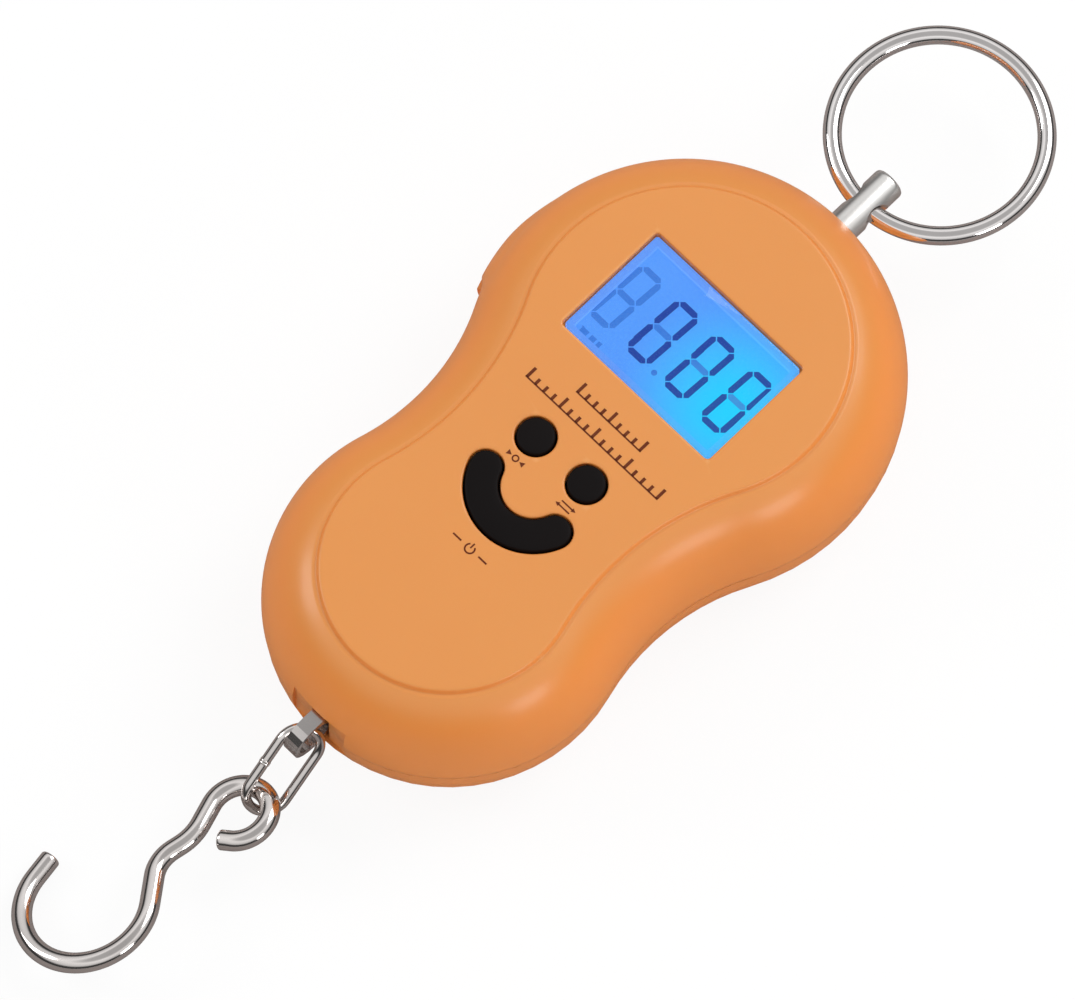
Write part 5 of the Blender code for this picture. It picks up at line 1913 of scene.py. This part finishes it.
@dataclass
class HangingRing:
    """The round wire ring through the rod's cross hole."""

    radius: float = 0.0145
    wire: float = 0.0026
    droop: float = math.radians(0.5)

    def build(self, finishes: Finishes) -> None:
        """Builds the ring.

        Args:
            finishes: The finishes.
        """
        pivot = Vector(joint_named("ring_swing")["pos_m"])
        points = []
        steps = 144
        for i in range(steps):
            angle = 2 * math.pi * i / steps
            flat = Vector((self.radius * math.sin(angle), self.radius * (1 - math.cos(angle)), 0.0))
            points.append(pivot + Matrix.Rotation(-self.droop, 3, "X") @ flat)
        maker = MeshMaker()
        maker.tube(points, self.wire / 2, True, 28)
        piece = maker.finish("hanging_ring_wire", 60.0)
        dress(piece, finishes.ring, Body.RING, ["hanging_ring"])


def joint_named(name: str) -> dict:
    """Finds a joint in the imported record.

    Args:
        name: The joint's name.

    Returns:
        The joint.
    """
    return next(joint for joint in frame["joints"] if joint["name"] == name)


@dataclass
class ChainLink:
    """The long link between the load cell's tab and the hook."""

    wire: float = 0.0014
    width: float = 0.0060
    length: float = 0.0136
    side_steps: int = 12

    def axes(self) -> tuple[Vector, Vector, Vector]:
        """(upper end, direction down the link, direction across it)."""
        upper = Vector(joint_named("link_swing")["pos_m"])
        lower = Vector(joint_named("hook_swing")["pos_m"])
        down = (lower - upper).normalized()
        across = Vector(joint_named("hook_swing")["axis"])
        across = (across - down * across.dot(down)).normalized()
        return upper, down, across

    def build(self, finishes: Finishes) -> None:
        """Builds the link, with the bead where its wire is joined.

        Args:
            finishes: The finishes.
        """
        upper, down, across = self.axes()
        half = self.width / 2
        flat = arc((0.0, half), half, 0.0, -math.pi, 32)
        straight, steps = self.length - 2 * half, self.side_steps
        flat += [(-half, half + straight * k / steps) for k in range(1, steps)]
        flat += arc((0.0, self.length - half), half, math.pi, 0.0, 32)
        flat += [(half, self.length - half - straight * k / steps) for k in range(1, steps)]
        points = [upper + across * x + down * y for x, y in flat]
        maker = MeshMaker()
        maker.tube(points, self.wire / 2, True, 20)
        middle = upper - across * half + down * (self.length / 2)
        radius = self.wire / 2
        bead = [
            (radius * 0.9, -0.00042), (radius + 0.00004, -0.00030), (radius + 0.00009, -0.00014),
            (radius + 0.00002, -0.00003), (radius + 0.00002, 0.00003), (radius + 0.00009, 0.00014),
            (radius + 0.00004, 0.00030), (radius * 0.9, 0.00042),
        ]
        maker.turn(bead, middle, down, 20)
        piece = maker.finish("chain_link_wire", 60.0)
        dress(piece, finishes.wire, Body.LINK, ["chain_link"])


@dataclass
class Hook:
    """The open hook, bent from one wire."""

    wire: float = 0.0028
    eye_radius: float = 0.0043
    bowl_radius: float = 0.0089
    seat: float = 0.0025
    yaw: float = math.radians(9.8)
    tilt: float = math.radians(4)
    roll: float = math.radians(20)

    def path(self) -> list[Point2]:
        """The wire's middle line in its own plane, from its free end round the eye to its tip."""
        start = math.radians(42)
        heading = start + math.pi / 2
        neck, kick, bowl = math.radians(33), math.radians(53), math.radians(210)
        turn = math.radians(258)
        legs = (
            (0.0016, 0.0, 3), (self.eye_radius * turn, turn, 60), (0.0032, 0.0, 5),
            (0.0070 * neck, -neck, 12), (0.0012, 0.0, 3), (0.0050 * kick, kick, 14),
            (0.0042, 0.0, 8), (self.bowl_radius * bowl, -bowl, 64), (0.0035, 0.0, 5),
        )
        spot = Vector((math.cos(start), math.sin(start))) * self.eye_radius
        spot -= Vector((math.cos(heading), math.sin(heading))) * legs[0][0]
        points = [tuple(spot)]
        for length, bend, steps in legs:
            for _ in range(steps):
                heading += bend / steps / 2
                spot += Vector((math.cos(heading), math.sin(heading))) * length / steps
                heading += bend / steps / 2
                points.append(tuple(spot))
        return points

    def build(self, finishes: Finishes) -> None:
        """Builds the hook.

        Args:
            finishes: The finishes.
        """
        lower = Vector(joint_named("hook_swing")["pos_m"])
        _, down, _ = ChainLink().axes()
        ahead = Vector((
            -math.sin(self.yaw) * math.cos(self.tilt),
            -math.cos(self.yaw) * math.cos(self.tilt),
            -math.sin(self.tilt),
        ))
        side = Vector((math.cos(self.yaw), -math.sin(self.yaw), 0.0))
        side = Matrix.Rotation(self.roll, 3, ahead) @ side
        eye = lower - down * self.seat + ahead * self.eye_radius
        points = [eye + ahead * x + side * y for x, y in self.path()]
        maker = MeshMaker()
        maker.tube(points, self.wire / 2, False, 28)
        dress(maker.finish("hook_wire", 60.0), finishes.wire, Body.HOOK, ["hook"])


# ---- Back: door, screws and cells ----------------------------------------------------------------


@dataclass
class BatteryDoor:
    """The door in the back, with ribs beside its finger tongue."""

    hinge_radius: float = 0.0012
    stub_radius: float = 0.0007
    stub_length: float = 0.0013
    tongue_width: float = 0.0088
    tongue_length: float = 0.0026
    thickness: float = 0.0015
    bead_chamfer: float = 0.0001
    ribs: int = 6
    rib_start: float = 0.0030
    rib_pitch: float = 0.0013
    rib_width: float = 0.0006
    rib_reach: float = 0.0085
    rib_taper: float = 0.0007

    def hinge_bar(
        self, maker: MeshMaker, radius: float, half: float, pivot: Vector, sides: int
    ) -> None:
        """Adds a chamfered round bar along the hinge.

        Args:
            maker: The mesh.
            radius: Its radius.
            half: Half its length.
            pivot: A point on the hinge's axis.
            sides: How many sides it has.
        """
        nip, length = self.bead_chamfer, 2 * half
        profile = [(radius - nip, 0.0), (radius, nip), (radius, length - nip), (radius - nip, length)]
        maker.turn(profile, Vector((-half, pivot.y, pivot.z)), Vector((1.0, 0.0, 0.0)), sides)

    def build(self, finishes: Finishes) -> None:
        """Builds the door.

        Args:
            finishes: The finishes.
        """
        low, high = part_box("battery_door")
        pivot = Vector(joint_named("battery_door_open")["pos_m"])
        half = high.x - self.stub_length
        edge = low.y + self.tongue_length
        maker = MeshMaker()
        maker.block((-half, edge, low.z), (half, pivot.y, low.z + self.thickness), 0.0003)
        tongue = self.tongue_width / 2
        top = low.z + self.thickness - self.stub_radius / 2
        maker.block((-tongue, low.y, low.z + 0.0001), (tongue, edge + 0.001, top), 0.0002)
        self.hinge_bar(maker, self.hinge_radius, half, pivot, 32)
        self.hinge_bar(maker, self.stub_radius, high.x, pivot, 24)
        for index in range(self.ribs):
            y = edge + self.rib_start + index * self.rib_pitch
            wide = self.rib_reach - self.rib_taper * index
            far = (wide, y + self.rib_width, low.z + 0.0004)
            maker.block((-wide, y, low.z - 0.00018), far, 0.00012)
        piece = maker.finish("battery_door_panel", 40.0)
        dress(piece, finishes.door, Body.DOOR, ["battery_door"])


@dataclass
class CaseScrews:
    """Four pan-head screws with cross recesses."""

    head_radius: float = 0.0026
    head_height: float = 0.0018
    shank_radius: float = 0.00125
    rim: float = 0.0006
    dome: tuple[Row, ...] = ((0.0009, 0.0), (0.0016, 0.00010), (0.0021, 0.00028))
    pitch: float = 0.0009
    root: float = 0.82
    cross_reach: float = 0.0014
    cross_half: float = 0.00028
    cross_depth: float = 0.0011
    sharp_degrees: float = 35.0

    def build(self, finishes: Finishes) -> None:
        """Builds the screws.

        Args:
            finishes: The finishes.
        """
        for index in range(1, 5):
            node = f"case_screw_{index}"
            low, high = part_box(node)
            middle = (low + high) / 2
            length = high.z - low.z
            rim = self.rim
            neck = rim + self.head_height
            maker = MeshMaker()
            profile = [
                *self.dome, (0.00245, rim), (self.head_radius, rim + 0.0003),
                (self.head_radius, neck - 0.0001), (0.0025, neck), (self.shank_radius, neck),
            ]
            turns = int((length - rim - self.head_height) / self.pitch)
            for turn in range(turns):
                base = neck + 0.0003 + turn * self.pitch
                profile += [(self.shank_radius * self.root, base), (self.shank_radius, base + 0.00035)]
            profile += [(self.shank_radius * 0.3, length)]
            maker.turn(profile, Vector((middle.x, middle.y, low.z)), Vector((0.0, 0.0, 1.0)), 36)
            screw = maker.finish(f"case_screw_turned_{index}", self.sharp_degrees)
            tools = []
            long, thin = self.cross_reach, self.cross_half
            for across, along in ((long, thin), (thin, long)):
                tools.append(block_cutter(
                    (middle.x - across, middle.y - along, low.z - 0.001),
                    (middle.x + across, middle.y + along, low.z + self.cross_depth),
                ))
            carve(screw, tools, self.sharp_degrees)
            dress(screw, finishes.screw, Body.CASE, [node])


class CarriedNodes:
    """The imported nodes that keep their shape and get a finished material."""

    def __init__(self, finishes: Finishes, groups: Groups) -> None:
        """Keeps the finishes at hand.

        Args:
            finishes: The finishes.
            groups: The shared node groups.
        """
        self.finishes = finishes
        self.groups = groups

    def build(self) -> None:
        """Repaints every carried node."""
        made, small = self.finishes, self.finishes.small
        plain: dict[str, Material] = {
            "back_cover": made.orange,
            "load_cell": made.plate,
            "circuit_board": made.board,
            "chip_blob": small["chip_epoxy"],
            "crystal": made.contact,
            "lead_red": small["lead_red"],
            "lead_black": small["lead_black"],
            "gauge_cable": small["gauge_cable"],
            "positive_contact": made.contact,
            "negative_contact": made.contact,
        }
        for index in (1, 2):
            plain[f"capacitor_{index}"] = small["capacitor"]
            plain[f"strain_gauge_{index}"] = small["gauge_foil"]
            plain[f"series_contact_{index}"] = made.contact
            plain[f"contact_spring_{index}"] = made.contact
        for index in range(1, 5):
            plain[f"board_screw_{index}"] = made.screw
        for node, material in plain.items():
            repaint(node, material)
        for index, up in ((1, True), (2, False)):
            node = f"battery_cell_{index}"
            low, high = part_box(node)
            sleeve = SleeveFinish(f"cell_sleeve_{index}", low.y, high.y, up)
            repaint(node, sleeve.make(self.groups))


# ---- Studio --------------------------------------------------------------------------------------


@dataclass
class Studio:
    """A pale floor, soft lights and the camera."""

    distance: float = 1.6
    aim: tuple[float, float, float] = (-0.00157, 0.03074, 0.0128)
    towards_camera: tuple[float, float, float] = (0.2277, -0.2281, 0.9466)
    frame_width: float = 0.1435
    floor_colour: Colour = (0.95, 0.95, 0.95)
    floor_shade: Colour = (0.30, 0.27, 0.26)
    floor_light: float = 0.9
    floor_reach: float = 2.0
    floor_z: float = -0.00002
    sky_strength: float = 0.80
    sky: tuple[Row, ...] = (
        (0.0, 0.3), (0.50, 0.3), (0.53, 0.05), (0.66, 0.06), (0.74, 0.85), (0.90, 1.25),
        (0.955, 0.62), (1.0, 0.60),
    )
    boxes: tuple[tuple[str, tuple[float, float, float], float, float], ...] = (
        ("overhead_box", (0.17, 0.75, 0.80), 0.6, 4.6),
        ("right_box", (1.0, -0.05, 0.38), 0.32, 2.2),
        ("left_box", (-0.8, -0.45, 0.6), 0.4, 2.9),
    )
    sensor: float = 36.0

    def build(self) -> None:
        """Builds the floor, the world, the lights and the camera."""
        self.floor()
        self.world()
        self.lights()
        self.camera()

    def floor(self) -> None:
        """Builds the floor under the object."""
        maker = MeshMaker()
        reach = self.floor_reach
        corners = [(-reach, -reach), (reach, -reach), (reach, reach), (-reach, reach)]
        maker.cap(maker.ring(corners, self.floor_z))
        floor = maker.finish("studio_floor")
        coat = Coat("floor_paper")
        coat.set(Base_Color=(*self.floor_colour, 1.0), Roughness=0.9, Specular_IOR_Level=0.1)
        dim = coat.node("ShaderNodeBsdfDiffuse")
        dim.inputs["Color"].default_value = (*self.floor_shade, 1.0)
        seen = coat.node("ShaderNodeLightPath")
        mix = coat.node("ShaderNodeMixShader")
        coat.wire(seen.outputs["Is Glossy Ray"], mix.inputs[0])
        coat.wire(coat.shader.outputs[0], mix.inputs[1])
        coat.wire(dim.outputs[0], mix.inputs[2])
        lit = coat.node("ShaderNodeEmission")
        lit.inputs["Strength"].default_value = 1.0
        share = coat.node("ShaderNodeMath", operation="MULTIPLY")
        share.inputs[1].default_value = self.floor_light
        coat.wire(seen.outputs["Is Camera Ray"], share.inputs[0])
        glow = coat.node("ShaderNodeMixShader")
        coat.wire(share.outputs[0], glow.inputs[0])
        coat.wire(mix.outputs[0], glow.inputs[1])
        coat.wire(lit.outputs[0], glow.inputs[2])
        coat.wire(glow.outputs[0], coat.tree.nodes["Material Output"].inputs["Surface"])
        floor.data.materials.append(coat.material)

    def world(self) -> None:
        """Lights the scene from all round: pale to the camera, banded to the metals."""
        world = bpy.data.worlds.new("soft_studio")
        world.use_nodes = True
        bpy.context.scene.world = world
        tree = world.node_tree
        tree.nodes.clear()
        place = tree.nodes.new("ShaderNodeTexCoord")
        split = tree.nodes.new("ShaderNodeSeparateXYZ")
        tree.links.new(place.outputs["Generated"], split.inputs[0])
        ramp = tree.nodes.new("ShaderNodeValToRGB")
        while len(ramp.color_ramp.elements) < len(self.sky):
            ramp.color_ramp.elements.new(1.0)
        for element, (spot, value) in zip(ramp.color_ramp.elements, self.sky):
            element.position = spot
            element.color = (value, value, value, 1.0)
        spread = tree.nodes.new("ShaderNodeMapRange")
        spread.inputs["From Min"].default_value = -1.0
        spread.inputs["From Max"].default_value = 1.0
        tree.links.new(split.outputs["Z"], spread.inputs["Value"])
        tree.links.new(spread.outputs["Result"], ramp.inputs["Fac"])
        banded = tree.nodes.new("ShaderNodeBackground")
        tree.links.new(ramp.outputs["Color"], banded.inputs["Color"])
        banded.inputs["Strength"].default_value = self.sky_strength
        pale = tree.nodes.new("ShaderNodeBackground")
        pale.inputs["Color"].default_value = (0.95, 0.95, 0.95, 1.0)
        seen = tree.nodes.new("ShaderNodeLightPath")
        mix = tree.nodes.new("ShaderNodeMixShader")
        tree.links.new(seen.outputs["Is Camera Ray"], mix.inputs[0])
        tree.links.new(banded.outputs[0], mix.inputs[1])
        tree.links.new(pale.outputs[0], mix.inputs[2])
        sink = tree.nodes.new("ShaderNodeOutputWorld")
        tree.links.new(mix.outputs[0], sink.inputs["Surface"])

    def lights(self) -> None:
        """Builds three soft boxes."""
        for name, spot, size, watts in self.boxes:
            self.soft_box(name, spot, size, watts)

    def soft_box(
        self, name: str, spot: tuple[float, float, float], size: float, watts: float
    ) -> None:
        """Builds one soft box that faces the object.

        Args:
            name: Its name.
            spot: Its place.
            size: Its side.
            watts: Its power.
        """
        lamp = bpy.data.lights.new(name, "AREA")
        lamp.size = size
        lamp.energy = watts
        box = bpy.data.objects.new(name, lamp)
        bpy.context.scene.collection.objects.link(box)
        box.location = spot
        box.rotation_mode = "QUATERNION"
        box.rotation_quaternion = (Vector(self.aim) - Vector(spot)).to_track_quat("-Z", "Y")
        box.visible_camera = False

    def camera(self) -> None:
        """Builds the camera, at the angle the scale is shown from."""
        lens = bpy.data.cameras.new("camera")
        lens.sensor_width = self.sensor
        lens.lens = self.sensor * self.distance / self.frame_width
        lens.clip_start = 0.1
        lens.clip_end = 20.0
        camera = bpy.data.objects.new("camera", lens)
        bpy.context.scene.collection.objects.link(camera)
        back = Vector(self.towards_camera).normalized()
        right = Vector((1.0, 1.0, 0.0)).normalized()
        right = (right - back * right.dot(back)).normalized()
        up = back.cross(right)
        turn = Matrix((right, up, back)).transposed().to_4x4()
        camera.matrix_world = Matrix.Translation(Vector(self.aim) + back * self.distance) @ turn
        bpy.context.scene.camera = camera
        bpy.context.scene.view_settings.view_transform = "Standard"


def main() -> None:
    """Builds the scale and its studio."""
    logging.basicConfig(level=logging.INFO, format="%(message)s")
    groups = Groups()
    finishes = Finishes(groups)
    Studio().build()
    outline = CaseOutline()
    FrontCover(outline).build(finishes)
    Buttons().build(finishes)
    Display(groups).build(finishes)
    PrintedMarks().build(finishes)
    SuspensionRod().build(finishes)
    HangingRing().build(finishes)
    ChainLink().build(finishes)
    Hook().build(finishes)
    BatteryDoor().build(finishes)
    CaseScrews().build(finishes)
    CarriedNodes(finishes, groups).build()


if __name__ == "__main__":
    main()
